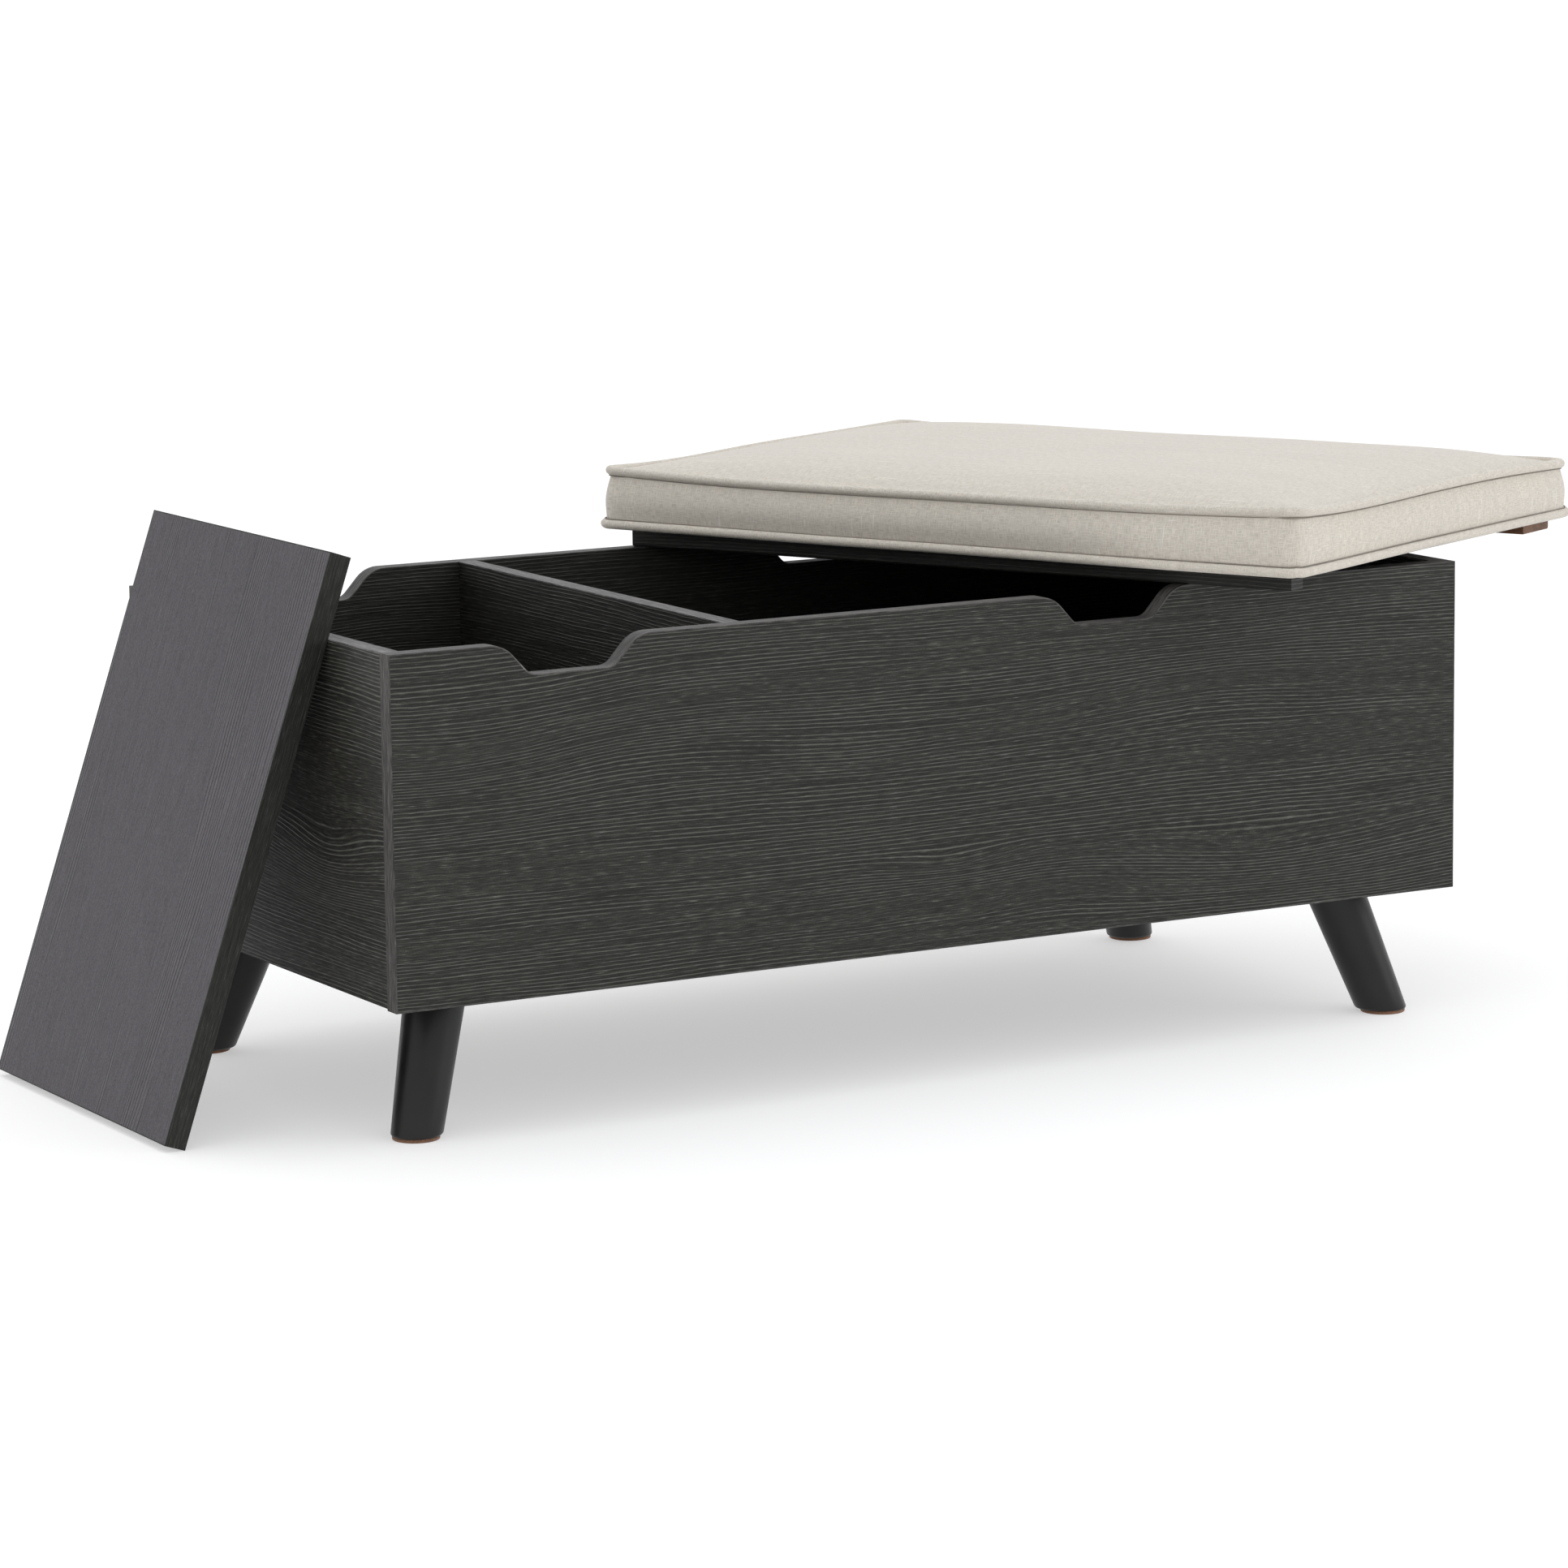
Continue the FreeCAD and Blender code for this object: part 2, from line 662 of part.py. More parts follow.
# ---- whole object ---------------------------------------------------------------------
def box_pieces():
    """Every piece of the box and its legs, from the box's front left corner."""
    pieces = {}
    pieces["front_panel"], pieces["front_edge_band"] = long_panel(0.0, 1)
    pieces["back_panel"], pieces["back_edge_band"] = long_panel(bay_back, -1)
    low = floor_gap + side_rise
    for name, x, bottom, side in (("left_side", 0.0, low, 1), ("right_side", box_length - panel, low, -1),
                                  ("divider", divider_left, floor_top, 1)):
        board, top, tools = cross_panel(x, bottom, side)
        if name == "divider":
            tools += [divider_screw(y, slide_fit) for y in divider_screw_places()]
        pieces[name + "_panel"] = cut_all(board, tools)
        pieces[name + "_edge_band"] = top
    pieces["bottom_panel"] = bottom_panel()
    pieces["cam_locks"] = cam_locks()
    pieces["cam_covers"] = cam_covers()
    pieces["cam_bolts"] = cam_bolts()
    pieces["panel_dowels"] = panel_dowels()
    pieces["divider_screws"] = group([divider_screw(y) for y in divider_screw_places()])
    legs = leg_places()
    for leg in legs:
        pieces["leg_" + leg[0]] = leg_body(leg)
    pieces["leg_plates"] = group([leg_plate(leg) for leg in legs])
    pieces["leg_bolts"] = group([leg_bolt(leg) for leg in legs])
    pieces["leg_plate_screws"] = group([plate_screw(at) for leg in legs for at in plate_screw_places(leg)])
    pieces["foot_pads"] = group([foot_pad_of(leg) for leg in legs])
    return pieces


def placed(pieces, placement):
    """Pieces moved from their own frame to the box's."""
    return {name: shape.transformed(placement.toMatrix()) for name, shape in pieces.items()}


def bench():
    """Every piece, with the origin under the middle of the whole object."""
    pieces = box_pieces()
    pieces.update(placed(lid_pieces(), lid_place()))
    pieces.update(placed(seat_pieces(), seat_place(seat_under)))
    pieces.update(placed(cushion_pieces(), seat_place(cushion_under)))
    whole = FreeCAD.BoundBox()
    for shape in pieces.values():
        whole.add(shape.optimalBoundingBox(False))
    shift = FreeCAD.Placement(Vector(-whole.Center.x, -whole.Center.y, -whole.ZMin), FreeCAD.Rotation())
    return placed(pieces, shift), shift.Base


def main():
    """Write each piece to its own file."""
    os.makedirs("parts", exist_ok=True)
    pieces, _ = bench()
    for name, shape in pieces.items():
        shape.exportStep("parts/" + name + ".step")


if __name__ == "__main__":
    main()
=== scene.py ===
"""Looks of a low storage bench, built round its CAD frame.

The bench stands open: its plain lid leans on the left side of the box, and its cushioned
seat lies turned across the rims.  Boards keep their CAD shapes and get an embossed
wood-grain laminate.  The legs and foot pads are turned, and the cushion is inflated as
cloth between its two rings of piping.  All sizes are in metres.
"""

import logging
import math
from dataclasses import dataclass
from enum import Enum

import bmesh
import bpy
from mathutils import Matrix, Vector, noise


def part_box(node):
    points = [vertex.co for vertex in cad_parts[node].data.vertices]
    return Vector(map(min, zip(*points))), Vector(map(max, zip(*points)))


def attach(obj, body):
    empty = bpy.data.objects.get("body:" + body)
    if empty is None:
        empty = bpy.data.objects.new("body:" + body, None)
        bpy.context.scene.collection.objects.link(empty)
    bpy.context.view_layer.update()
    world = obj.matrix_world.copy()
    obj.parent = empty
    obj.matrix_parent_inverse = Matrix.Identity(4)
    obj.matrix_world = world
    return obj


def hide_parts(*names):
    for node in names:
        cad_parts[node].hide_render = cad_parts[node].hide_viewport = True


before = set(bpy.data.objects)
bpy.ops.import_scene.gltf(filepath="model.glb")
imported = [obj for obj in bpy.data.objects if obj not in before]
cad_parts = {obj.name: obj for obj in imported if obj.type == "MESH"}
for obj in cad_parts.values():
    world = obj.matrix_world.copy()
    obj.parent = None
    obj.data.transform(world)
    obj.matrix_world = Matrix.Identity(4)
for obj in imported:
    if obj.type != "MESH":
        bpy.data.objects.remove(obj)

LOG = logging.getLogger("bench")

Colour = tuple[float, float, float]
Triple = tuple[float, float, float]
Socket = bpy.types.NodeSocket
Feed = Socket | float | Triple


# ---- shader graphs --------------------------------------------------------------------
class Graph:
    """Node tree of one material, with short calls for the nodes that it uses."""

    def __init__(self, name: str) -> None:
        """Start a material that holds only its surface shader.

        Args:
            name: Name of the material.
        """
        self.material = bpy.data.materials.new(name)
        self.material.use_nodes = True
        self.tree = self.material.node_tree
        self.surface = self.tree.nodes["Principled BSDF"]

    def add(self, kind: str, *feeds: Feed | None, output: int = 0, **settings: object) -> Socket:
        """Add a node and feed its inputs in order.

        Args:
            kind: Node type, without its ShaderNode prefix.
            feeds: A socket to link or a value to set for each input; None leaves one as it is.
            output: Which output to return.
            settings: Properties of the node.

        Returns:
            The chosen output socket.
        """
        node = self.tree.nodes.new("ShaderNode" + kind)
        for key, value in settings.items():
            setattr(node, key, value)
        for socket, feed in zip(node.inputs, feeds):
            self.feed(socket, feed)
        return node.outputs[output]

    def feed(self, socket: Socket, feed: Feed | None) -> None:
        """Link a socket into an input, or set the input's value.

        Args:
            socket: Input to feed.
            feed: Output to link from, value to set, or None for neither.
        """
        if isinstance(feed, Socket):
            self.tree.links.new(feed, socket)
        elif feed is not None:
            wide = socket.type == "RGBA" and len(feed) == 3
            socket.default_value = (*feed, 1.0) if wide else feed

    def math(self, operation: str, *feeds: Feed) -> Socket:
        """Return the result of a Math node."""
        return self.add("Math", *feeds, operation=operation)

    def scaled(self, vector: Socket, factors: Triple) -> Socket:
        """Return a vector with each of its parts multiplied by a factor."""
        return self.add("VectorMath", vector, factors, operation="MULTIPLY")

    def noise(self, vector: Socket, detail: float = 2.0, roughness: float = 0.5,
              warp: float = 0.0) -> Socket:
        """Return fractal noise of a vector that is already scaled.

        Args:
            vector: Position, in pattern units.
            detail: Number of octaves.
            roughness: Weight of each finer octave.
            warp: Distortion of the pattern.

        Returns:
            Noise value, about 0.5 on average.
        """
        return self.add("TexNoise", vector, None, 1.0, detail, roughness, None, None, warp)

    def ramp(self, value: Socket, *stops: tuple[float, Colour]) -> Socket:
        """Return a colour looked up along a row of stops.

        Args:
            value: Place along the ramp, from 0 to 1.
            stops: Position and colour of each stop, in order.

        Returns:
            Colour socket.
        """
        node = self.tree.nodes.new("ShaderNodeValToRGB")
        self.feed(node.inputs[0], value)
        points = node.color_ramp.elements
        while len(points) < len(stops):
            points.new(0.5)
        for point, (position, colour) in zip(points, stops):
            point.position = position
            point.color = (*colour, 1.0)
        return node.outputs[0]

    def between(self, value: Socket, low: float, high: float, start: float = 0.0,
                end: float = 1.0) -> Socket:
        """Return a value moved from one range to another and held inside it.

        Args:
            value: Value to move.
            low: Value that becomes start.
            high: Value that becomes end.
            start: Result at or under low.
            end: Result at or over high.

        Returns:
            Value socket.
        """
        return self.add("MapRange", value, low, high, start, end)

    def blend(self, factor: Feed, first: Feed, second: Feed, mode: str = "MIX") -> Socket:
        """Return two colours blended.

        Args:
            factor: Share of the second colour.
            first: First colour.
            second: Second colour.
            mode: Blend mode.

        Returns:
            Colour socket.
        """
        node = self.tree.nodes.new("ShaderNodeMix")
        node.data_type = "RGBA"
        node.blend_type = mode
        for index, value in ((0, factor), (6, first), (7, second)):
            self.feed(node.inputs[index], value)
        return node.outputs[2]

    def bump(self, height: Socket, distance: float, strength: float = 1.0,
             normal: Socket | None = None) -> Socket:
        """Return a surface normal tilted by a height pattern.

        Args:
            height: Pattern, from 0 to 1.
            distance: Height of the pattern's full range.
            strength: Share of the effect that is kept.
            normal: Normal to start from.

        Returns:
            Normal socket.
        """
        node = self.tree.nodes.new("ShaderNodeBump")
        node.inputs["Distance"].default_value = distance
        node.inputs["Strength"].default_value = strength
        self.feed(node.inputs["Height"], height)
        self.feed(node.inputs["Normal"], normal)
        return node.outputs[0]

    def finish(self, **sockets: Feed) -> bpy.types.Material:
        """Feed the surface shader.

        Args:
            sockets: Inputs by name, with an underscore for each space.

        Returns:
            The finished material.
        """
        for key, value in sockets.items():
            self.feed(self.surface.inputs[key.replace("_", " ")], value)
        return self.material


# ---- finishes -------------------------------------------------------------------------
@dataclass(frozen=True)
class Eye:
    """Knot-like eye in the grain that the lines bend round."""

    along: float
    across: float
    length: float
    width: float
    push: float


@dataclass(frozen=True)
class Tones:
    """Colours of a laminate, from its pores to its palest flecks."""

    dark: Colour = (0.0022, 0.0021, 0.0014)
    middle: Colour = (0.0165, 0.0165, 0.0125)
    light: Colour = (0.078, 0.079, 0.068)
    fleck: Colour = (0.17, 0.172, 0.158)


@dataclass(frozen=True)
class Grain:
    """Embossed wood-grain laminate whose lines run along one direction."""

    name: str
    origin: Vector
    along: Triple = (1.0, 0.0, 0.0)
    across: Triple = (0.0, 0.0, 1.0)
    offset: float = 0.0
    tones: Tones = Tones()
    waviness: float = 0.006
    row: float = 0.0031
    rows_across: float = 26.0
    rows_from: float = 0.39
    rows_full: float = 0.51
    row_weight: float = 0.60
    row_power: float = 6.0
    fibre_weight: float = 0.55
    dash_weight: float = 0.80
    speckle: float = 0.25
    patch_weight: float = 0.05
    row_drift: float = 16.0
    ridge_mean: float = 0.17
    depth_base: float = 0.395
    fleck_share: float = 0.6
    roughness: float = 0.47
    relief: float = 0.00030
    eyes: tuple[Eye, ...] = ()

    def make(self) -> bpy.types.Material:
        """Return the material."""
        g = Graph(self.name)
        place = g.add("VectorMath", g.add("TexCoord", output=3), tuple(self.origin),
                      operation="SUBTRACT")
        through = Vector(self.along).cross(Vector(self.across))
        u, v, w = (g.add("VectorMath", place, tuple(way), operation="DOT_PRODUCT", output=1)
                   for way in (self.along, self.across, through))
        line = self.flow(g, u, v, w)
        region = g.noise(self.stretched(g, u, line, w, 1.4, self.rows_across), 2.0, 0.5)
        rows = g.between(region, self.rows_from, self.rows_full)
        shift = g.noise(self.stretched(g, u, line, w, 2.2, 30.0), 1.0, 0.5)
        turns = g.math("MULTIPLY_ADD", shift, self.row_drift,
                       g.math("MULTIPLY", line, math.tau / self.row))
        wave = g.math("MULTIPLY_ADD", g.math("SINE", turns), 0.5, 0.5)
        ridge = g.math("POWER", wave, self.row_power)
        fade = g.noise(self.stretched(g, u, line, w, 8.0, 230.0), 1.0, 0.5)
        ridge = g.math("MULTIPLY", ridge, g.between(fade, 0.22, 0.52))
        ridge = g.math("MULTIPLY", g.math("SUBTRACT", ridge, self.ridge_mean), rows)
        fibre = g.noise(self.stretched(g, u, line, w, 9.0, 950.0), 1.0, 0.6)
        dash = g.noise(self.stretched(g, u, line, w, 75.0, 1200.0), 1.0, 0.6)
        grit = g.noise(self.stretched(g, u, line, w, 700.0, 1100.0), 1.0, 0.6)
        patch = g.noise(self.stretched(g, u, line, w, 3.0, 11.0), 2.0, 0.5)
        depth = g.math("MULTIPLY_ADD", g.math("SUBTRACT", fibre, 0.5), self.fibre_weight,
                       self.depth_base)
        depth = g.math("MULTIPLY_ADD", g.math("SUBTRACT", dash, 0.5), self.dash_weight, depth)
        depth = g.math("MULTIPLY_ADD", g.math("SUBTRACT", grit, 0.5), self.speckle, depth)
        depth = g.math("MULTIPLY_ADD", ridge, self.row_weight, depth)
        depth = g.math("MULTIPLY_ADD", g.math("SUBTRACT", patch, 0.5), self.patch_weight, depth)
        tones = self.tones
        tone = g.ramp(depth, (0.20, tones.dark), (0.42, tones.middle), (0.78, tones.light))
        flecks = g.math("MULTIPLY", g.between(dash, 0.62, 0.74), g.between(depth, 0.50, 0.70))
        tone = g.blend(g.math("MULTIPLY", flecks, self.fleck_share), tone, tones.fleck)
        rough = g.between(depth, 0.2, 0.75, self.roughness + 0.10, self.roughness - 0.06)
        return g.finish(Base_Color=tone, Roughness=rough, Specular_IOR_Level=0.34,
                        Normal=g.bump(depth, self.relief))

    def flow(self, g: Graph, u: Socket, v: Socket, w: Socket) -> Socket:
        """Return the place across the grain after its lines drift, ripple and bend round eyes."""
        drift = g.noise(self.stretched(g, u, v, w, 1.3, 5.0), 2.0, 0.5)
        ripple = g.noise(self.stretched(g, u, v, w, 9.0, 26.0), 1.0, 0.5)
        line = g.math("MULTIPLY_ADD", g.math("SUBTRACT", drift, 0.5), self.waviness * 5.0, v)
        line = g.math("MULTIPLY_ADD", g.math("SUBTRACT", ripple, 0.5), self.waviness * 0.6, line)
        for eye in self.eyes:
            line = g.math("ADD", line, self.bulge(g, u, v, eye))
        return line

    def stretched(self, g: Graph, u: Socket, v: Socket, w: Socket, along: float,
                  across: float) -> Socket:
        """Return the place on the board, scaled along and across the grain and through it as along.

        Args:
            g: Graph that holds the nodes.
            u: Place along the grain.
            v: Place across the grain.
            w: Place through the board.
            along: Pattern units in a metre along the grain.
            across: Pattern units in a metre across it.

        Returns:
            Vector socket.
        """
        scaled = g.scaled(g.add("CombineXYZ", u, v, w), (along, across, along))
        return g.add("VectorMath", scaled, (self.offset,) * 3, operation="ADD")

    @staticmethod
    def bulge(g: Graph, u: Socket, v: Socket, eye: Eye) -> Socket:
        """Return how far an eye pushes the grain's lines sideways.

        Args:
            g: Graph that holds the nodes.
            u: Place along the grain.
            v: Place across the grain.
            eye: The eye.

        Returns:
            Distance socket, in metres.
        """
        across = g.math("DIVIDE", g.math("SUBTRACT", v, eye.across), eye.width)
        along = g.math("DIVIDE", g.math("SUBTRACT", u, eye.along), eye.length)
        square = g.math("ADD", g.math("MULTIPLY", across, across), g.math("MULTIPLY", along, along))
        return g.math("MULTIPLY", g.math("EXPONENT", g.math("MULTIPLY", square, -1.0)), eye.push)


@dataclass(frozen=True)
class Coating:
    """Paint, lacquer or moulded plastic with a fine skin."""

    name: str
    colour: Colour
    worn: Colour
    roughness: float = 0.4
    skin: float = 420.0
    relief: float = 0.00004
    streak: Triple = (1.0, 1.0, 1.0)
    shine: float = 0.5

    def make(self) -> bpy.types.Material:
        """Return the material."""
        g = Graph(self.name)
        place = g.scaled(g.add("TexCoord", output=3), self.streak)
        fine = g.noise(g.scaled(place, (self.skin,) * 3), 3.0, 0.6)
        cloud = g.noise(g.scaled(place, (28.0, 28.0, 28.0)), 4.0, 0.6)
        tone = g.ramp(cloud, (0.35, self.colour), (0.75, self.worn))
        rough = g.between(cloud, 0.3, 0.7, self.roughness - 0.06, self.roughness + 0.08)
        height = g.math("MULTIPLY_ADD", cloud, 0.4, fine)
        return g.finish(Base_Color=tone, Specular_IOR_Level=self.shine, Roughness=rough,
                        Normal=g.bump(height, self.relief))


@dataclass(frozen=True)
class Metal:
    """Plated steel with faint blotches and brushed lines."""

    name: str
    colour: Colour = (0.62, 0.62, 0.60)
    roughness: float = 0.32

    def make(self) -> bpy.types.Material:
        """Return the material."""
        g = Graph(self.name)
        place = g.add("TexCoord", output=3)
        lines = g.noise(g.scaled(place, (150.0, 150.0, 2600.0)), 3.0, 0.6)
        blotch = g.noise(g.scaled(place, (90.0, 90.0, 90.0)), 3.0, 0.6)
        dull = tuple(part * 0.72 for part in self.colour)
        tone = g.ramp(blotch, (0.35, dull), (0.65, self.colour))
        rough = g.between(blotch, 0.3, 0.7, self.roughness + 0.12, self.roughness - 0.06)
        return g.finish(Base_Color=tone, Roughness=rough, Metallic=1.0,
                        Normal=g.bump(lines, 0.00004))


@dataclass(frozen=True)
class Nap:
    """Felt, foam or looped tape: short fibres or cells with no direction."""

    name: str
    low: Colour
    high: Colour
    cell: float = 900.0
    relief: float = 0.0004

    def make(self) -> bpy.types.Material:
        """Return the material."""
        g = Graph(self.name)
        place = g.add("TexCoord", output=3)
        fibre = g.noise(g.scaled(place, (self.cell,) * 3), 4.0, 0.7, 0.6)
        cloud = g.noise(g.scaled(place, (40.0, 40.0, 40.0)), 2.0, 0.5)
        mixed = g.math("MULTIPLY_ADD", g.math("SUBTRACT", cloud, 0.5), 0.5, fibre)
        tone = g.ramp(mixed, (0.3, self.low), (0.7, self.high))
        return g.finish(Base_Color=tone, Roughness=0.95, Sheen_Weight=0.3, Sheen_Roughness=0.5,
                        Normal=g.bump(fibre, self.relief))


@dataclass(frozen=True)
class Linen:
    """Plain linen weave with slubs, read from the piece's own map in metres."""

    name: str
    shade: Colour = (0.43, 0.39, 0.33)
    thread: Colour = (0.645, 0.60, 0.53)
    slub: Colour = (0.78, 0.745, 0.70)
    pitch: float = 0.0009
    relief: float = 0.00022

    def make(self) -> bpy.types.Material:
        """Return the material."""
        g = Graph(self.name)
        place = g.add("UVMap", uv_map="cloth")
        count = 1.0 / self.pitch
        warp = g.noise(g.scaled(place, (count, count * 0.12, 1.0)), 2.0, 0.55)
        weft = g.noise(g.scaled(place, (count * 0.12, count, 1.0)), 2.0, 0.55)
        fuzz = g.noise(g.scaled(place, (count * 1.7, count * 1.7, 1.0)), 2.0, 0.7)
        cloud = g.noise(g.scaled(place, (9.0, 9.0, 1.0)), 3.0, 0.5)
        stripe = g.noise(g.scaled(place, (95.0, 2.2, 1.0)), 2.0, 0.5)
        weave = g.math("MAXIMUM", warp, weft)
        weave = g.math("MULTIPLY_ADD", g.math("SUBTRACT", fuzz, 0.5), 0.35, weave)
        tone = g.ramp(weave, (0.36, self.shade), (0.62, self.thread))
        for stretch, low in (((420.0, 24.0, 1.0), 0.70), ((30.0, 420.0, 1.0), 0.74)):
            slub = g.between(g.noise(g.scaled(place, stretch), 1.0, 0.4), low, low + 0.06)
            tone = g.blend(g.math("MULTIPLY", slub, 0.6), tone, self.slub)
            weave = g.math("MULTIPLY_ADD", slub, 0.4, weave)
        tone = g.blend(g.between(cloud, 0.35, 0.65, 0.0, 0.14), tone, (0.50, 0.48, 0.45))
        tone = g.blend(g.between(stripe, 0.4, 0.62, 0.0, 0.16), tone, (0.47, 0.445, 0.40))
        return g.finish(Base_Color=tone, Roughness=0.88, Sheen_Weight=0.22, Sheen_Roughness=0.4,
                        Normal=g.bump(weave, self.relief, 0.7))


@dataclass(frozen=True)
class Timber:
    """Plain planed wood along one axis."""

    name: str
    stretch: Triple
    dark: Colour = (0.075, 0.032, 0.014)
    light: Colour = (0.21, 0.10, 0.05)

    def make(self) -> bpy.types.Material:
        """Return the material."""
        g = Graph(self.name)
        place = g.scaled(g.add("TexCoord", output=3), self.stretch)
        rings = g.noise(place, 4.0, 0.65, 0.4)
        pores = g.noise(g.scaled(place, (6.0, 6.0, 6.0)), 2.0, 0.6)
        mixed = g.math("MULTIPLY_ADD", g.math("SUBTRACT", pores, 0.5), 0.4, rings)
        tone = g.ramp(mixed, (0.32, self.dark), (0.68, self.light))
        return g.finish(Base_Color=tone, Roughness=0.6, Normal=g.bump(mixed, 0.0002))


class Slot(Enum):
    """Material slots of the record."""

    LAMINATE = "dark_laminate"
    BAND = "edge_band"
    LACQUER = "black_lacquer"
    BLACK_STEEL = "black_steel"
    ZINC = "zinc_steel"
    PLASTIC = "black_plastic"
    RAW_WOOD = "raw_wood"
    FELT = "brown_felt"
    TAPE = "hook_and_loop"
    FOAM = "foam"
    LINEN = "linen_fabric"
    ZIPPER = "zipper_tape"


# ---- mesh helpers ---------------------------------------------------------------------
def new_piece(name: str, bm: bmesh.types.BMesh, material: bpy.types.Material, body: str,
              smooth: bool = True) -> bpy.types.Object:
    """Turn a bmesh into a piece that rides on a body.

    Args:
        name: Name of the piece.
        bm: Mesh in the row frame; it is freed.
        material: Finish of the piece.
        body: CAD body that carries it.
        smooth: Whether its faces shade smooth.

    Returns:
        The new object.
    """
    bmesh.ops.recalc_face_normals(bm, faces=bm.faces)
    for face in bm.faces:
        face.smooth = smooth
    mesh = bpy.data.meshes.new(name)
    bm.to_mesh(mesh)
    bm.free()
    return add_mesh(name, mesh, material, body)


def add_mesh(name: str, mesh: bpy.types.Mesh, material: bpy.types.Material, body: str) -> bpy.types.Object:
    """Add a finished mesh as a piece that rides on a body.

    Args:
        name: Name of the piece.
        mesh: Mesh in the row frame.
        material: Finish of the piece.
        body: CAD body that carries it.

    Returns:
        The new object.
    """
    mesh.materials.clear()
    mesh.materials.append(material)
    piece = bpy.data.objects.new(name, mesh)
    bpy.context.scene.collection.objects.link(piece)
    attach(piece, body)
    LOG.info("%s: %d faces on %s", name, len(mesh.polygons), body)
    return piece


def bevel(bm: bmesh.types.BMesh, edges: list[bmesh.types.BMEdge], width: float,
          segments: int) -> None:
    """Round a set of edges.

    Args:
        bm: Mesh to change.
        edges: Edges to round.
        width: Width of the rounding.
        segments: Faces across it.
    """
    bmesh.ops.bevel(bm, geom=edges, offset=width, offset_type="OFFSET", segments=segments,
                    profile=0.5, affect="EDGES", material=-1, clamp_overlap=True)


def dress(material: bpy.types.Material, *nodes: str) -> None:
    """Give CAD nodes a finish.

    Args:
        material: Finish.
        nodes: Names of the CAD nodes.
    """
    for name in nodes:
        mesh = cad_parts[name].data
        mesh.materials.clear()
        mesh.materials.append(material)


# ---- box ------------------------------------------------------------------------------
@dataclass
class Leg:
    """Turned tapered leg with a felt pad, splayed outwards."""

    name: str
    side: int
    face: int
    foot: Vector
    splay_x: float = 0.034
    splay_y: float = 0.029
    floor_gap: float = 0.112
    top: float = 0.115
    top_diameter: float = 0.050
    foot_diameter: float = 0.041
    pad: float = 0.003
    pad_margin: float = 0.0015
    foot_round: float = 0.0022
    facets: int = 72

    def axis(self) -> Vector:
        """Return the leg's direction from its foot to its top, one unit high."""
        lean = Vector((-self.side * self.splay_x, -self.face * self.splay_y, self.floor_gap))
        return lean / self.floor_gap

    def build(self, lacquer: bpy.types.Material,
              felt: bpy.types.Material) -> list[bpy.types.Object]:
        """Build the leg and its pad.

        Args:
            lacquer: Finish of the wood.
            felt: Finish of the pad.

        Returns:
            The turned leg and its pad, in that order.
        """
        return [self.wood(lacquer), self.felt(felt)]

    def wood(self, lacquer: bpy.types.Material) -> bpy.types.Object:
        """Return the tapered leg, cut level at both ends."""
        direction = self.axis().normalized()
        length = self.top * self.axis().length
        spare = self.top_diameter
        growth = (self.top_diameter - self.foot_diameter) / 2.0 / length
        bm = bmesh.new()
        middle = self.foot + direction * (length / 2.0)
        tilt = Vector((0, 0, 1)).rotation_difference(direction).to_matrix().to_4x4()
        place = Matrix.Translation(middle) @ tilt
        bmesh.ops.create_cone(bm, cap_ends=True, segments=self.facets, depth=length + 2.0 * spare,
                              radius1=self.foot_diameter / 2.0 - growth * spare,
                              radius2=self.top_diameter / 2.0 + growth * spare, matrix=place)
        for height, normal in ((self.pad, -1.0), (self.top, 1.0)):
            cut = bmesh.ops.bisect_plane(bm, geom=bm.verts[:] + bm.edges[:] + bm.faces[:],
                                         plane_co=(0, 0, height), plane_no=(0, 0, normal),
                                         clear_outer=True)
            rim = [item for item in cut["geom_cut"] if isinstance(item, bmesh.types.BMEdge)]
            bmesh.ops.edgeloop_fill(bm, edges=rim)
        low = [edge for edge in bm.edges if max(v.co.z for v in edge.verts) < self.pad + 1e-5]
        bevel(bm, low, self.foot_round, 4)
        rings = [face for face in bm.faces if len(face.verts) == 4 and face.calc_area() > 1e-4]
        long_edges = {edge for face in rings for edge in face.edges if edge.calc_length() > 0.05}
        bmesh.ops.subdivide_edges(bm, edges=list(long_edges), cuts=6, use_grid_fill=True)
        piece = new_piece("leg_" + self.name + "_turned", bm, lacquer, "box")
        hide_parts("leg_" + self.name)
        return piece

    def felt(self, felt: bpy.types.Material) -> bpy.types.Object:
        """Return the round pad with softened edges."""
        bm = bmesh.new()
        radius = self.foot_diameter / 2.0 - self.pad_margin
        middle = Matrix.Translation(self.foot + Vector((0, 0, self.pad / 2.0)))
        bmesh.ops.create_cone(bm, cap_ends=True, segments=48, radius1=radius, radius2=radius,
                              depth=self.pad, matrix=middle)
        bevel(bm, [edge for edge in bm.edges if edge.is_manifold and edge.calc_face_angle() > 1.0],
              self.pad * 0.3, 3)
        return new_piece("foot_pad_" + self.name, bm, felt, "box")


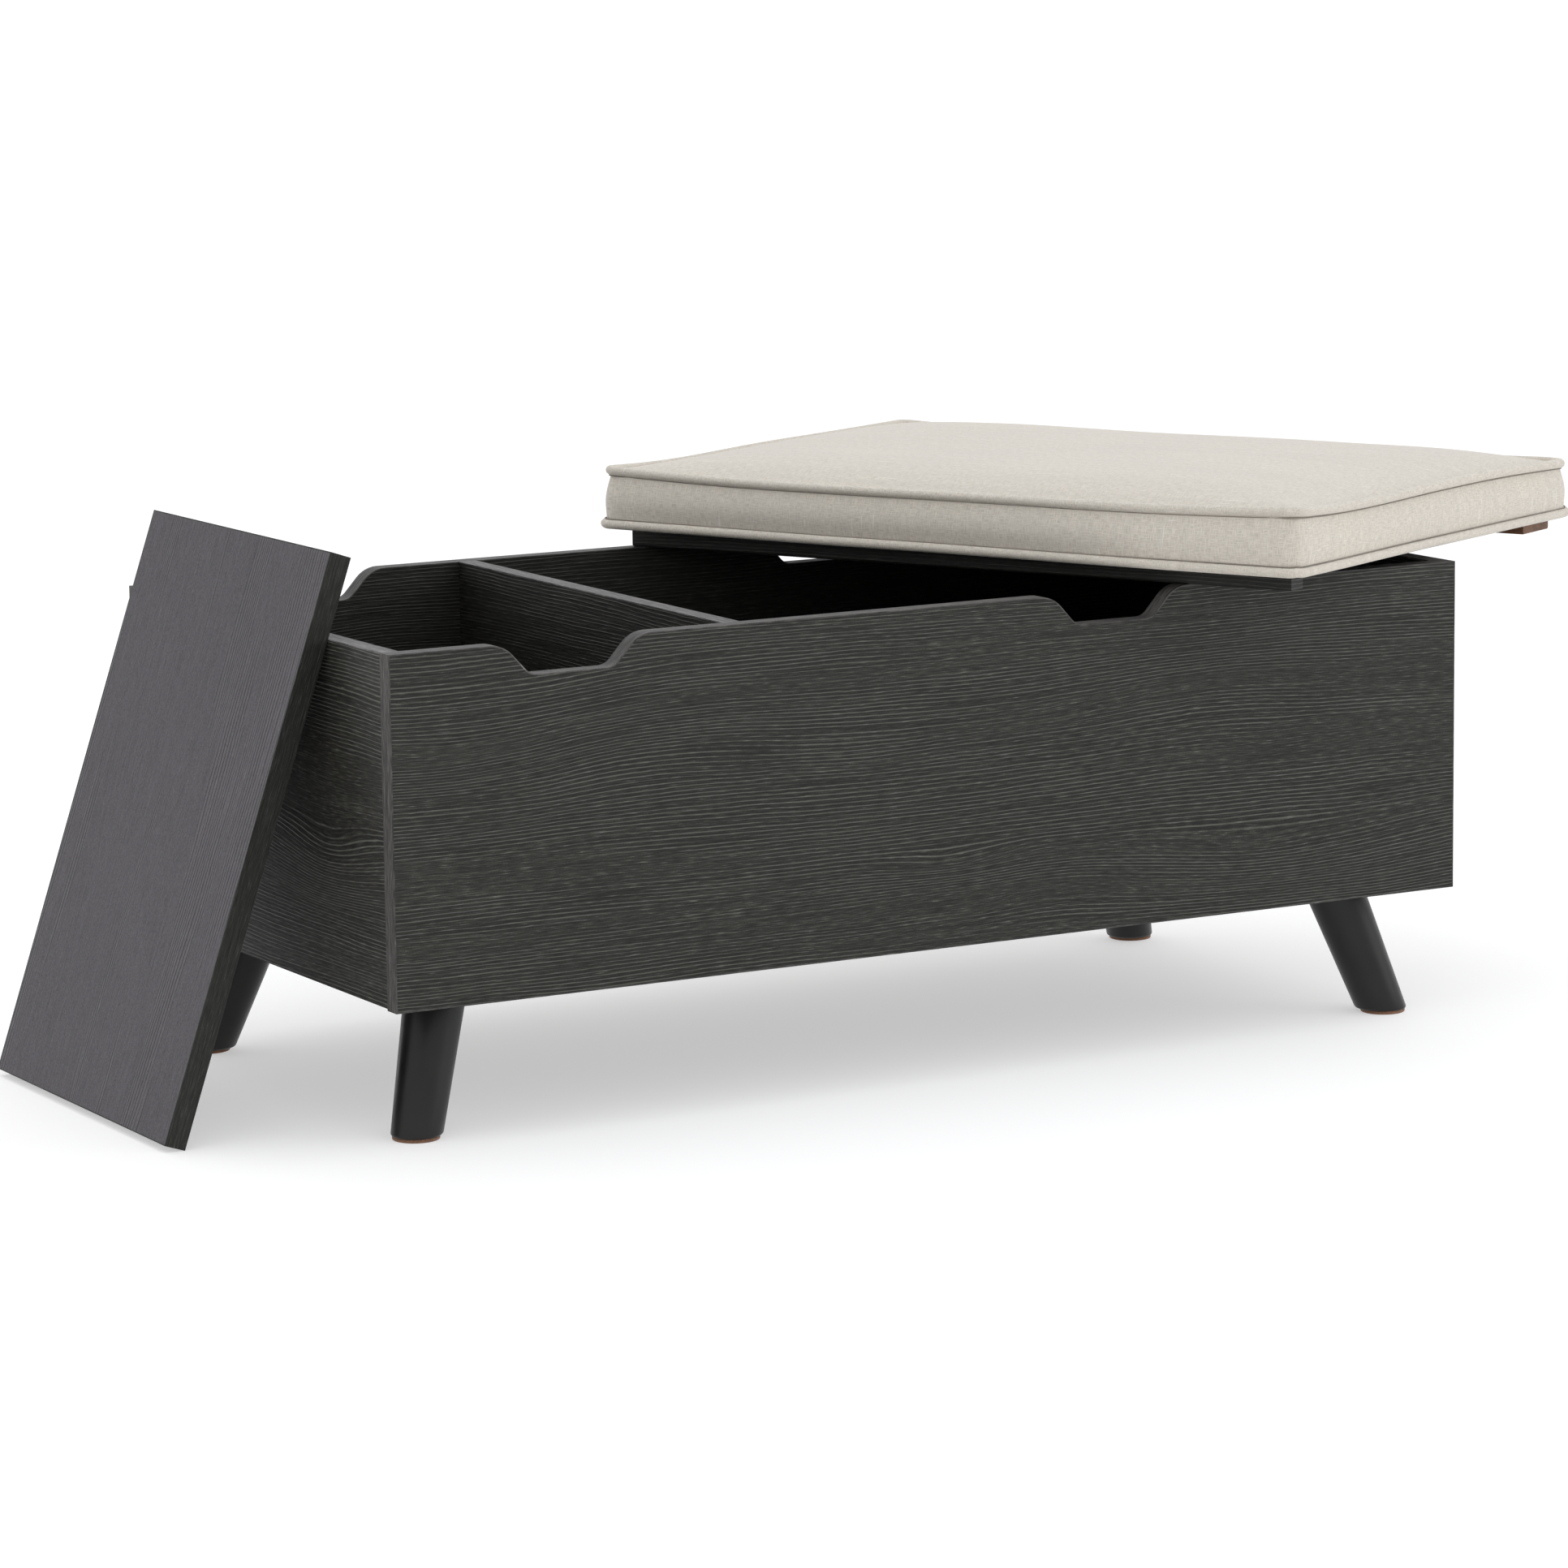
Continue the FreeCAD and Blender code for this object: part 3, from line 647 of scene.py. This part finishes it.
@dataclass
class Box:
    """Two-bay box on four legs."""

    corner: Vector
    length: float = 1.0
    depth: float = 0.498
    leg_inset_x: float = 0.072
    leg_inset_y: float = 0.078

    def grain(self, name: str, along: Triple, across: Triple, offset: float,
              eyes: tuple[Eye, ...] = (), tones: Tones = Tones()) -> bpy.types.Material:
        """Return the laminate for one board.

        Args:
            name: Name of the material.
            along: Direction of the grain.
            across: Direction across it, in the board.
            offset: Place in the endless pattern, so that boards differ.
            eyes: Eyes in the grain, placed from the box's corner.
            tones: Colours of the board.

        Returns:
            The material.
        """
        return Grain(name, self.corner, along, across, offset, tones, eyes=eyes).make()

    def dress(self) -> None:
        """Give every board of the box its laminate and its bands."""
        eyes = (Eye(0.500, 0.183, 0.060, 0.014, 0.008), Eye(0.62, 0.150, 0.10, 0.030, -0.008),
                Eye(0.08, 0.33, 0.16, 0.045, 0.010), Eye(0.21, 0.30, 0.12, 0.05, -0.012),
                Eye(0.80, 0.16, 0.14, 0.03, 0.010), Eye(0.75, 0.30, 0.12, 0.03, -0.010))
        long_way, deep, up = (1.0, 0.0, 0.0), (0.0, 1.0, 0.0), (0.0, 0.0, 1.0)
        dress(self.grain("laminate front", long_way, up, 0.0, eyes), "front_panel")
        # Painted shade: a darker copy of the laminate for the boards seen only inside the box, namely the
        # back panel, the divider and the bottom.
        painted_shade_tones = Tones((0.0020, 0.0019, 0.0014), (0.012, 0.012, 0.0095), (0.042, 0.042, 0.035),
                    (0.09, 0.09, 0.08))
        dress(self.grain("laminate back", long_way, up, 5.3, eyes[2:5], painted_shade_tones), "back_panel")
        flank = (Eye(0.12, 0.22, 0.09, 0.03, 0.02),)
        dress(self.grain("laminate left side", deep, up, 9.1, flank), "left_side_panel")
        dress(self.grain("laminate right side", deep, up, 13.7), "right_side_panel")
        dress(self.grain("laminate divider", deep, up, 17.9, (), painted_shade_tones), "divider_panel")
        dress(self.grain("laminate bottom", long_way, deep, 21.3, (), painted_shade_tones), "bottom_panel")
        # Painted highlight: the long bands on the front and back panels get lighter tones than the
        # laminate, standing in for the light their edges catch.
        lit_band_tones = Tones((0.016, 0.015, 0.015), (0.052, 0.049, 0.047), (0.12, 0.115, 0.11),
                     (0.2, 0.19, 0.18))
        skew = (1.0, 0.0, 0.4)
        dress(Grain("band long", self.corner, skew, deep, 3.0, lit_band_tones, row_weight=0.1).make(),
              "front_edge_band", "back_edge_band")
        # Painted highlight: the bands on the sides and the divider are lighter still, standing in for
        # their more brightly lit top edges.
        brighter_lit_band_tones = Tones((0.030, 0.029, 0.029), (0.10, 0.096, 0.096), (0.21, 0.20, 0.20),
                      (0.32, 0.31, 0.31))
        dress(Grain("band cross", self.corner, deep, long_way, 6.0, brighter_lit_band_tones, row_weight=0.1).make(),
              "left_side_edge_band", "right_side_edge_band", "divider_edge_band")

    def stand(self, lacquer: bpy.types.Material, felt: bpy.types.Material) -> None:
        """Build the four legs and their pads.

        Args:
            lacquer: Finish of the legs.
            felt: Finish of the pads.
        """
        for name, side, face in (("front_left", -1, -1), ("front_right", 1, -1),
                                 ("back_left", -1, 1), ("back_right", 1, 1)):
            x = self.leg_inset_x if side < 0 else self.length - self.leg_inset_x
            y = self.leg_inset_y if face < 0 else self.depth - self.leg_inset_y
            foot = self.corner + Vector((x, y, 0))
            leg = Leg(name, side, face, foot)
            leg.foot = foot + Vector((side * leg.splay_x, face * leg.splay_y, 0))
            leg.build(lacquer, felt)[1]
        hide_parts("foot_pads")


# ---- lid and seat boards --------------------------------------------------------------
@dataclass
class Lid:
    """Plain board that leans on the left side of the box."""

    lean: float = math.radians(18.8)

    def dress(self) -> None:
        """Give the leaning board its laminate, with the grain up its length, in lighter tones that paint
        the sheen on its upturned face.
        """
        low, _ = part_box("lid_board")
        up = (math.sin(self.lean), 0.0, math.cos(self.lean))
        # Painted reflection: the lid's laminate gets lighter, violet-grey tones than the box's boards,
        # standing in for the sheen of the surround on its upturned face.
        painted_sheen_tones = Tones((0.020, 0.018, 0.022), (0.058, 0.0525, 0.062), (0.112, 0.102, 0.115),
                       (0.17, 0.16, 0.17))
        board = Grain("laminate lid", low, up, (0.0, 1.0, 0.0), 25.1, painted_sheen_tones, waviness=0.009,
                      row=0.0042, rows_across=20.0, rows_from=0.535, rows_full=0.56, row_power=5.0,
                      row_weight=-0.60, fibre_weight=0.25, dash_weight=0.30, speckle=0.50)
        dress(board.make(), "lid_board")
        shade = Tones((0.002, 0.002, 0.0015), (0.010, 0.010, 0.008), (0.036, 0.036, 0.031),
                      (0.07, 0.07, 0.06))
        thick = (-math.cos(self.lean), 0.0, math.sin(self.lean))
        dress(Grain("band lid", low, up, thick, 29.0, shade, waviness=0.002, row_weight=0.2).make(),
              "lid_edge_band")


@dataclass
class Seat:
    """Board under the cushion, turned across the rims."""

    turn: float = math.radians(27.6)

    def frame(self, middle: Vector) -> Matrix:
        """Return the seat's directions at a point: X across the short way, Y along the long way."""
        return Matrix.Translation(middle) @ Matrix.Rotation(self.turn, 4, "Z")

    def dress(self) -> None:
        """Give the board, its band and its front rail their laminate."""
        low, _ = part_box("seat_board")
        short = Vector((math.cos(self.turn), math.sin(self.turn), 0.0))
        long_way = Vector((-short.y, short.x, 0.0))
        up = (0.0, 0.0, 1.0)
        # Painted shade: the front rail and the band get darker tones than the board, for the shadow under
        # the cushion's edge.
        shade = Tones((0.002, 0.002, 0.0015), (0.007, 0.007, 0.006), (0.028, 0.028, 0.024),
                      (0.05, 0.05, 0.045))
        dress(Grain("laminate seat", low, tuple(long_way), tuple(short), 33.0).make(), "seat_board")
        dress(Grain("laminate rail", low, tuple(long_way), up, 35.0, shade).make(),
              "seat_front_rail")
        dress(Grain("band seat", low, tuple(long_way + short), up, 37.0, shade).make(),
              "seat_edge_band")


# ---- cushion --------------------------------------------------------------------------
@dataclass
class Cushion:
    """Boxed linen cushion with piped edges, inflated as cloth between its seams."""

    place: Matrix
    short: float = 0.516
    long: float = 0.694
    over_front: float = 0.027
    over_end: float = 0.022
    height: float = 0.054
    corner: float = 0.014
    piping: float = 0.008
    wall_inset: float = 0.0048
    draw_in_long: float = 0.008
    draw_in_short: float = 0.002
    waist: float = 0.003
    sag_long: float = 0.0058
    sag_short: float = 0.0042
    low_rear: float = 0.0055
    low_corner: float = 0.0040
    droop_front: float = 0.0015
    droop_near: float = 0.0045
    droop_end: float = 0.0070
    droop_end_rear: float = 0.0010
    top_wander: float = 0.0018
    edge_wander: float = 0.0008
    crown: float = 0.013
    swell: float = 2.6
    side_bulge: float = 0.0030
    base_gap: float = 0.001
    seam_hold: float = 0.007
    edge_reach: float = 0.004
    # Thickness and standing-off of the dark cords that paint the shade in the grooves beside the piping.
    seam_shade_width: float = 0.0009
    seam_shade_proud: float = 0.0006
    zipper_length: float = 0.420
    zipper_width: float = 0.016
    zipper_proud: float = 0.0016
    tooth_pitch: float = 0.003
    voxel: float = 0.0055
    frames: int = 20

    def warp(self, point: Vector) -> Vector:
        """Return where sewing and use move a point of the plain cushion.

        Args:
            point: Point in the cushion's frame, from its middle and its base.

        Returns:
            The moved point.
        """
        x, y, z = point
        up = min(max(z / self.height, 0.0), 1.2)
        s, t = 2.0 * x / self.short, 2.0 * y / self.long
        near = (1.0 - t) / 2.0
        belly = self.side_bulge * math.sin(math.pi * min(up, 1.0)) ** 2
        past_front = max(0.0, -x - self.short / 2.0 + self.over_front) / self.over_front
        past_end = max(0.0, -y - self.long / 2.0 + self.over_end) / self.over_end
        droop = max(past_front * (self.droop_front + self.droop_near * near),
                    past_end * (self.droop_end + self.droop_end_rear * s))
        x -= s * (self.draw_in_long * up + self.waist * (1.0 - t * t) - belly * abs(s) ** 7)
        y -= t * (self.draw_in_short * up + self.waist * (1.0 - s * s) - belly * abs(t) ** 7)
        wander = noise.noise(Vector((x * 6.0, y * 6.0, 3.7)))
        sag = self.sag_long * (1.0 - t ** 4) * s ** 6
        sag += self.sag_short * (1.0 - s ** 4) * (1.0 - 0.5 * s) * t ** 6
        sag += max(0.0, s) ** 2 * (self.low_rear + self.low_corner * max(0.0, -t) ** 3)
        z += up * (self.top_wander * wander - sag) - droop * max(0.0, 1.0 - up) ** 0.7
        if up < 0.4:
            ripple = noise.noise(Vector((x * 5.0, y * 5.0, 9.2)))
            z += self.edge_wander * max(abs(s), abs(t)) ** 8 * ripple
        return Vector((x, y, z))

    def settle(self, mesh: bpy.types.Mesh) -> None:
        """Warp a mesh from the plain cushion's shape and put it in the row frame."""
        for vertex in mesh.vertices:
            vertex.co = self.place @ self.warp(vertex.co)

    def block(self) -> bpy.types.Mesh:
        """Return the plain rounded block inside the piping."""
        bm = bmesh.new()
        bmesh.ops.create_cube(bm, size=1.0)
        size = (self.short - 2.0 * self.wall_inset, self.long - 2.0 * self.wall_inset,
                self.height - self.piping * 0.55)
        bmesh.ops.scale(bm, vec=size, verts=bm.verts)
        bmesh.ops.translate(bm, vec=(0, 0, size[2] / 2.0 + self.base_gap), verts=bm.verts)
        upright = [edge for edge in bm.edges if abs(edge.verts[0].co.z - edge.verts[1].co.z) > 0.01]
        bevel(bm, upright, self.corner - self.wall_inset, 6)
        level = [edge for edge in bm.edges if edge.is_manifold and edge.calc_face_angle() > 1.0]
        bevel(bm, level, 0.002, 2)
        mesh = bpy.data.meshes.new("cushion_cloth")
        bm.to_mesh(mesh)
        bm.free()
        return mesh

    def inflate(self, cloth: bpy.types.Object) -> None:
        """Blow the cover up between its two seams and keep the capped result.

        Args:
            cloth: Remeshed block in the cushion's frame.
        """
        mesh = cloth.data
        rest = [vertex.co.copy() for vertex in mesh.vertices]
        pin = cloth.vertex_groups.new(name="seams")
        top = max(co.z for co in rest)
        half = Vector((self.short / 2.0 - self.wall_inset, self.long / 2.0 - self.wall_inset, 0))
        for index, co in enumerate(rest):
            wall = min(half.x - abs(co.x), half.y - abs(co.y))
            level = min(abs(co.z - top), abs(co.z - self.base_gap))
            seam = level if wall < self.edge_reach else wall
            hold = 1.0 if co.z < 0.003 else max(0.0, 1.0 - seam / self.seam_hold) ** 2
            pin.add([index], hold, "REPLACE")
        cloth.modifiers.new("cloth", "CLOTH")
        settings = cloth.modifiers["cloth"].settings
        settings.quality = 5
        settings.mass = 0.3
        settings.use_pressure = True
        settings.uniform_pressure_force = 4.0
        settings.vertex_group_mass = "seams"
        settings.effector_weights.gravity = 0.0
        cloth.modifiers["cloth"].point_cache.frame_end = self.frames
        for step in range(1, self.frames + 1):
            bpy.context.scene.frame_set(step)
        shaped = cloth.evaluated_get(bpy.context.evaluated_depsgraph_get()).data
        moved = [vertex.co.copy() for vertex in shaped.vertices]
        cloth.modifiers.clear()
        bpy.context.scene.frame_set(1)
        for vertex, start, end in zip(mesh.vertices, rest, moved):
            step = end - start
            upper = start.z > top - self.edge_reach
            cap, gain = (self.crown, self.swell) if upper else (self.side_bulge, 1.0)
            if step.length > 1e-7:
                vertex.co = start + step.normalized() * cap * math.tanh(gain * step.length / cap)

    def cover(self, linen: bpy.types.Material) -> bpy.types.Object:
        """Return the inflated cover.

        Args:
            linen: Finish of the cloth.

        Returns:
            The cover; it stands for the CAD cover and foam.
        """
        cloth = bpy.data.objects.new("cushion_cloth", self.block())
        bpy.context.scene.collection.objects.link(cloth)
        remesh = cloth.modifiers.new("remesh", "REMESH")
        remesh.mode = "VOXEL"
        remesh.voxel_size = self.voxel
        graph = bpy.context.evaluated_depsgraph_get()
        fine = bpy.data.meshes.new_from_object(cloth.evaluated_get(graph))
        cloth.modifiers.clear()
        cloth.data = fine
        self.inflate(cloth)
        smooth = cloth.modifiers.new("smooth", "SUBSURF")
        smooth.levels = smooth.render_levels = 1
        graph = bpy.context.evaluated_depsgraph_get()
        done = bpy.data.meshes.new_from_object(cloth.evaluated_get(graph))
        bpy.data.objects.remove(cloth)
        map_cloth(done)
        self.settle(done)
        for face in done.polygons:
            face.use_smooth = True
        piece = add_mesh("cushion_cover_linen", done, linen, "cushion")
        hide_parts("cushion_cover", "cushion_foam")
        return piece

    def outline(self, inset: float, height: float) -> list[Vector]:
        """Return points along the cushion's outline, drawn in by an inset, at a height."""
        half_x, half_y = self.short / 2.0 - inset, self.long / 2.0 - inset
        radius = self.corner - inset
        points = []
        for sx, sy, start in ((1, 1, 0), (-1, 1, 90), (-1, -1, 180), (1, -1, 270)):
            middle = Vector((sx * (half_x - radius), sy * (half_y - radius), height))
            for step in range(9):
                turn = math.radians(start + 90.0 * step / 8)
                points.append(middle + radius * Vector((math.cos(turn), math.sin(turn), 0)))
        full = []
        for here, there in zip(points, points[1:] + points[:1]):
            count = max(1, round((there - here).length / 0.006))
            full += [here.lerp(there, step / count) for step in range(count)]
        return full

    def cord(self, name: str, points: list[Vector], thickness: float,
             material: bpy.types.Material) -> bpy.types.Object:
        """Return a closed round cord along points of the plain cushion.

        Args:
            name: Name of the piece.
            points: Middle line in the cushion's frame.
            thickness: Diameter of the cord.
            material: Finish.

        Returns:
            The new piece, mapped along its length in metres.
        """
        curve = bpy.data.curves.new(name, "CURVE")
        curve.dimensions = "3D"
        curve.bevel_depth = thickness / 2.0
        curve.bevel_resolution = 3
        line = curve.splines.new("POLY")
        line.points.add(len(points) - 1)
        line.use_cyclic_u = True
        for slot, point in zip(line.points, points):
            slot.co = (*(self.place @ self.warp(point)), 1.0)
        holder = bpy.data.objects.new(name, curve)
        bpy.context.scene.collection.objects.link(holder)
        mesh = bpy.data.meshes.new_from_object(
            holder.evaluated_get(bpy.context.evaluated_depsgraph_get()))
        bpy.data.objects.remove(holder)
        map_cord(mesh, self.place, thickness)
        for face in mesh.polygons:
            face.use_smooth = True
        return add_mesh(name, mesh, material, "cushion")

    def zipper(self) -> None:
        """Build the closed zipper along the rear side: tape, teeth, slider and tab."""
        wall = self.short / 2.0 - self.wall_inset + self.zipper_proud
        middle = self.height / 2.0
        tape = bmesh.new()
        bmesh.ops.create_grid(tape, x_segments=4, y_segments=90, size=0.5)
        bmesh.ops.scale(tape, vec=(self.zipper_width, self.zipper_length, 1.0), verts=tape.verts)
        bmesh.ops.rotate(tape, matrix=Matrix.Rotation(math.radians(90), 3, "Y"), verts=tape.verts)
        bmesh.ops.solidify(tape, geom=tape.faces[:], thickness=0.0009)
        self.seat_on_wall(tape, wall, middle)
        cloth = Coating("zipper cloth", (0.42, 0.39, 0.35), (0.55, 0.52, 0.47), 0.8).make()
        piece = new_piece("cushion_zipper_tape", tape, cloth, "cushion")
        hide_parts("cushion_zipper")
        teeth = bmesh.new()
        first = -self.zipper_length * 0.485
        tooth = Matrix.Diagonal((0.0014, 0.0019, 0.0032, 1.0))
        for step in range(round(self.zipper_length * 0.97 / self.tooth_pitch)):
            side = 1.0 if step % 2 else -1.0
            place = Matrix.Translation((0.0008, first + step * self.tooth_pitch, side * 0.0009))
            bmesh.ops.create_cube(teeth, size=1.0, matrix=place @ tooth)
        bevel(teeth, teeth.edges[:], 0.0003, 1)
        self.seat_on_wall(teeth, wall, middle)
        nylon = Coating("zipper teeth", (0.30, 0.28, 0.25), (0.38, 0.36, 0.32), 0.35).make()
        new_piece("cushion_zipper_teeth", teeth, nylon, "cushion")
        pull = bmesh.new()
        start = -self.zipper_length * 0.47
        for size, at in (((0.0032, 0.009, 0.0075), (0.0022, start, 0.0)),
                         ((0.0012, 0.0062, 0.0150), (0.0048, start, -0.0085))):
            place = Matrix.Translation(at) @ Matrix.Diagonal((*size, 1.0))
            bmesh.ops.create_cube(pull, size=1.0, matrix=place)
        bevel(pull, pull.edges[:], 0.0005, 2)
        self.seat_on_wall(pull, wall, middle)
        slider = new_piece("cushion_zipper_slider", pull, Metal("zipper metal").make(), "cushion")
        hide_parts("cushion_zipper_pull")

    def seat_on_wall(self, bm: bmesh.types.BMesh, wall: float, middle: float) -> None:
        """Move a mesh from its own middle onto the cushion's rear side.

        Args:
            bm: Mesh to move, facing along X.
            wall: Distance of the rear side from the cushion's middle.
            middle: Height of the mesh's middle.
        """
        for vertex in bm.verts:
            vertex.co = self.place @ self.warp(vertex.co + Vector((wall, 0.0, middle)))

    def build(self, linen: bpy.types.Material, shadow: bpy.types.Material) -> None:
        """Build the cover, its piping and the dark cords that paint the shade in its seam grooves.

        Args:
            linen: Finish of the cover and the piping.
            shadow: Finish of the dark cords, a painted shade along the seams.
        """
        self.cover(linen)
        radius = self.piping / 2.0
        for name, height, seam in (("bottom", radius, self.piping + 0.0004),
                                   ("top", self.height - radius, self.height - self.piping - 0.0004)):
            ring = self.cord("cushion_piping_" + name + "_cord", self.outline(radius, height),
                             self.piping, linen)
            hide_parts("cushion_piping_" + name)
            # Painted shade: a thin dark cord along each seam groove beside the piping.
            seam_shade_line = self.outline(self.wall_inset - self.seam_shade_proud, seam)
            self.cord("cushion_seam_" + name, seam_shade_line, self.seam_shade_width, shadow)
        self.zipper()


LEVEL_ENOUGH = 0.6        # upward part of a normal past which a face counts as the top or base
SIDE_SHIFT = 0.5          # keeps the end sides' weave apart from the long sides'
TURN_ACROSS = 0.249       # a cord's map turns from one side to the next where x and y
TURN_ALONG = 0.347        # are in the ratio of these two


def map_cloth(mesh: bpy.types.Mesh) -> None:
    """Lay a map in metres on the cushion's cover, face by face from its nearest side.

    Args:
        mesh: Cover in the cushion's own frame.
    """
    layer = mesh.uv_layers.new(name="cloth")
    for face in mesh.polygons:
        nx, ny, nz = (abs(part) for part in face.normal)
        for index in face.loop_indices:
            x, y, z = mesh.vertices[mesh.loops[index].vertex_index].co
            if nz > LEVEL_ENOUGH:
                layer.data[index].uv = (x, y)
            elif nx > ny:
                layer.data[index].uv = (y, z)
            else:
                layer.data[index].uv = (x, z + SIDE_SHIFT)


def map_cord(mesh: bpy.types.Mesh, place: Matrix, thickness: float) -> None:
    """Lay a map in metres on a cord: along it by its place on the nearest side, round it by height.

    Args:
        mesh: Cord in the row frame.
        place: Cushion's frame.
        thickness: Diameter of the cord.
    """
    while mesh.uv_layers:
        mesh.uv_layers.remove(mesh.uv_layers[0])
    layer = mesh.uv_layers.new(name="cloth")
    back = place.inverted()
    for face in mesh.polygons:
        normal = back.to_3x3() @ face.normal
        for index in face.loop_indices:
            x, y, z = back @ mesh.vertices[mesh.loops[index].vertex_index].co
            run = y if abs(x) / TURN_ACROSS > abs(y) / TURN_ALONG else x
            layer.data[index].uv = (run, z + normal.z * thickness)


# ---- studio ---------------------------------------------------------------------------
@dataclass
class Studio:
    """Pale floor, soft light and the camera."""

    corner: Vector
    eye: Triple = (-1.936, -4.045, 1.025)
    yaw: float = math.radians(29.426)
    pitch: float = math.radians(9.346)
    roll: float = math.radians(0.685)
    lens: float = 135.77
    floor_size: float = 90.0

    def camera(self) -> None:
        """Place the camera from the box's corner."""
        data = bpy.data.cameras.new("camera")
        data.lens = self.lens
        data.sensor_width = 36.0
        data.clip_end = 200.0
        camera = bpy.data.objects.new("camera", data)
        forward = Vector((math.sin(self.yaw) * math.cos(self.pitch),
                          math.cos(self.yaw) * math.cos(self.pitch), -math.sin(self.pitch)))
        right = Vector((math.cos(self.yaw), -math.sin(self.yaw), 0.0))
        down = forward.cross(right)
        across = right * math.cos(self.roll) + down * math.sin(self.roll)
        below = down * math.cos(self.roll) - right * math.sin(self.roll)
        turn = Matrix((across, -below, -forward)).transposed()
        camera.matrix_world = Matrix.Translation(self.corner + Vector(self.eye)) @ turn.to_4x4()
        bpy.context.scene.collection.objects.link(camera)
        bpy.context.scene.camera = camera

    def light(self, name: str, place: Triple, aim: Triple, size: float, power: float,
              colour: Colour = (1.0, 1.0, 1.0)) -> None:
        """Add a square soft light.

        Args:
            name: Name of the light.
            place: Where it hangs.
            aim: Point that it faces.
            size: Length of its sides.
            power: Power in watts.
            colour: Colour of the light.
        """
        data = bpy.data.lights.new(name, "AREA")
        data.color = colour
        data.size = size
        data.energy = power
        lamp = bpy.data.objects.new(name, data)
        lamp.location = place
        lamp.rotation_euler = (Vector(place) - Vector(aim)).to_track_quat("Z", "Y").to_euler()
        bpy.context.scene.collection.objects.link(lamp)

    def floor(self) -> None:
        """Lay the pale floor."""
        bm = bmesh.new()
        bmesh.ops.create_grid(bm, x_segments=4, y_segments=4, size=self.floor_size / 2.0)
        mesh = bpy.data.meshes.new("floor")
        bm.to_mesh(mesh)
        bm.free()
        g = Graph("pale floor")
        cloud = g.noise(g.scaled(g.add("TexCoord", output=3), (1.5, 1.5, 1.5)), 2.0, 0.5)
        mesh.materials.append(g.finish(Base_Color=g.ramp(cloud, (0.3, (0.58, 0.58, 0.58)),
                                                         (0.7, (0.60, 0.60, 0.60))),
                                       Roughness=0.9, Emission_Strength=0.46))
        floor = bpy.data.objects.new("floor", mesh)
        bpy.context.scene.collection.objects.link(floor)

    def build(self) -> None:
        """Set up the floor, the lights, the surround and the camera."""
        self.floor()
        self.light("overhead", (0.5, -0.5, 3.6), (0.0, 0.0, 0.2), 3.2, 22.0, (0.86, 0.92, 1.04))
        self.light("right", (3.2, -2.6, 1.6), (0.1, 0.0, 0.3), 2.2, 18.5)
        world = bpy.data.worlds.new("surround")
        world.use_nodes = True
        world.node_tree.nodes["Background"].inputs["Color"].default_value = (1.0, 1.0, 1.0, 1.0)
        world.node_tree.nodes["Background"].inputs["Strength"].default_value = 0.98
        bpy.context.scene.world = world
        bpy.context.scene.view_settings.view_transform = "Standard"
        self.camera()


# ---- whole bench ----------------------------------------------------------------------
def dress_fittings() -> None:
    """Give the fittings, tapes and hidden pieces their finishes."""
    zinc = Metal("zinc plate").make()
    raw = Timber("planed brown wood", (60.0, 14.0, 60.0)).make()
    dress(zinc, "cam_locks", "cam_bolts", "divider_screws", "leg_bolts", "leg_plate_screws",
          "lid_batten_screws", "seat_rail_screws")
    dress(Coating("black powder coat", (0.012, 0.012, 0.012), (0.022, 0.022, 0.022), 0.5).make(),
          "leg_plates")
    dress(Coating("black cap plastic", (0.015, 0.015, 0.015), (0.024, 0.024, 0.024), 0.45).make(),
          "cam_covers")
    dress(raw, "panel_dowels", "lid_battens", "seat_rear_rail")
    dress(Nap("loop tape", (0.008, 0.008, 0.008), (0.045, 0.045, 0.045)).make(),
          "seat_loop_tape", "cushion_hook_tape")


def main() -> None:
    """Build the bench's looks in order."""
    logging.basicConfig(level=logging.INFO, format="%(name)s %(message)s")
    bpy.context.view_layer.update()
    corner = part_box("front_edge_band")[0].copy()
    corner.z = 0.0
    box = Box(corner)
    box.dress()
    box.stand(Coating("black lacquer", (0.0055, 0.0055, 0.0055), (0.011, 0.0105, 0.010), 0.34,
                      260.0, 0.00005, shine=0.33).make(),
              Nap("brown felt", (0.10, 0.045, 0.022), (0.24, 0.12, 0.065)).make())
    Lid().dress()
    seat = Seat()
    seat.dress()
    dress_fittings()
    low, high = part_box("cushion_cover")
    cushion = Cushion(seat.frame(Vector(((low.x + high.x) / 2.0, (low.y + high.y) / 2.0, low.z))))
    cushion.build(Linen("linen").make(),
                  Coating("seam groove shade", (0.19, 0.17, 0.145), (0.28, 0.25, 0.215), 0.9).make())
    Studio(corner).build()


if __name__ == "__main__":
    main()
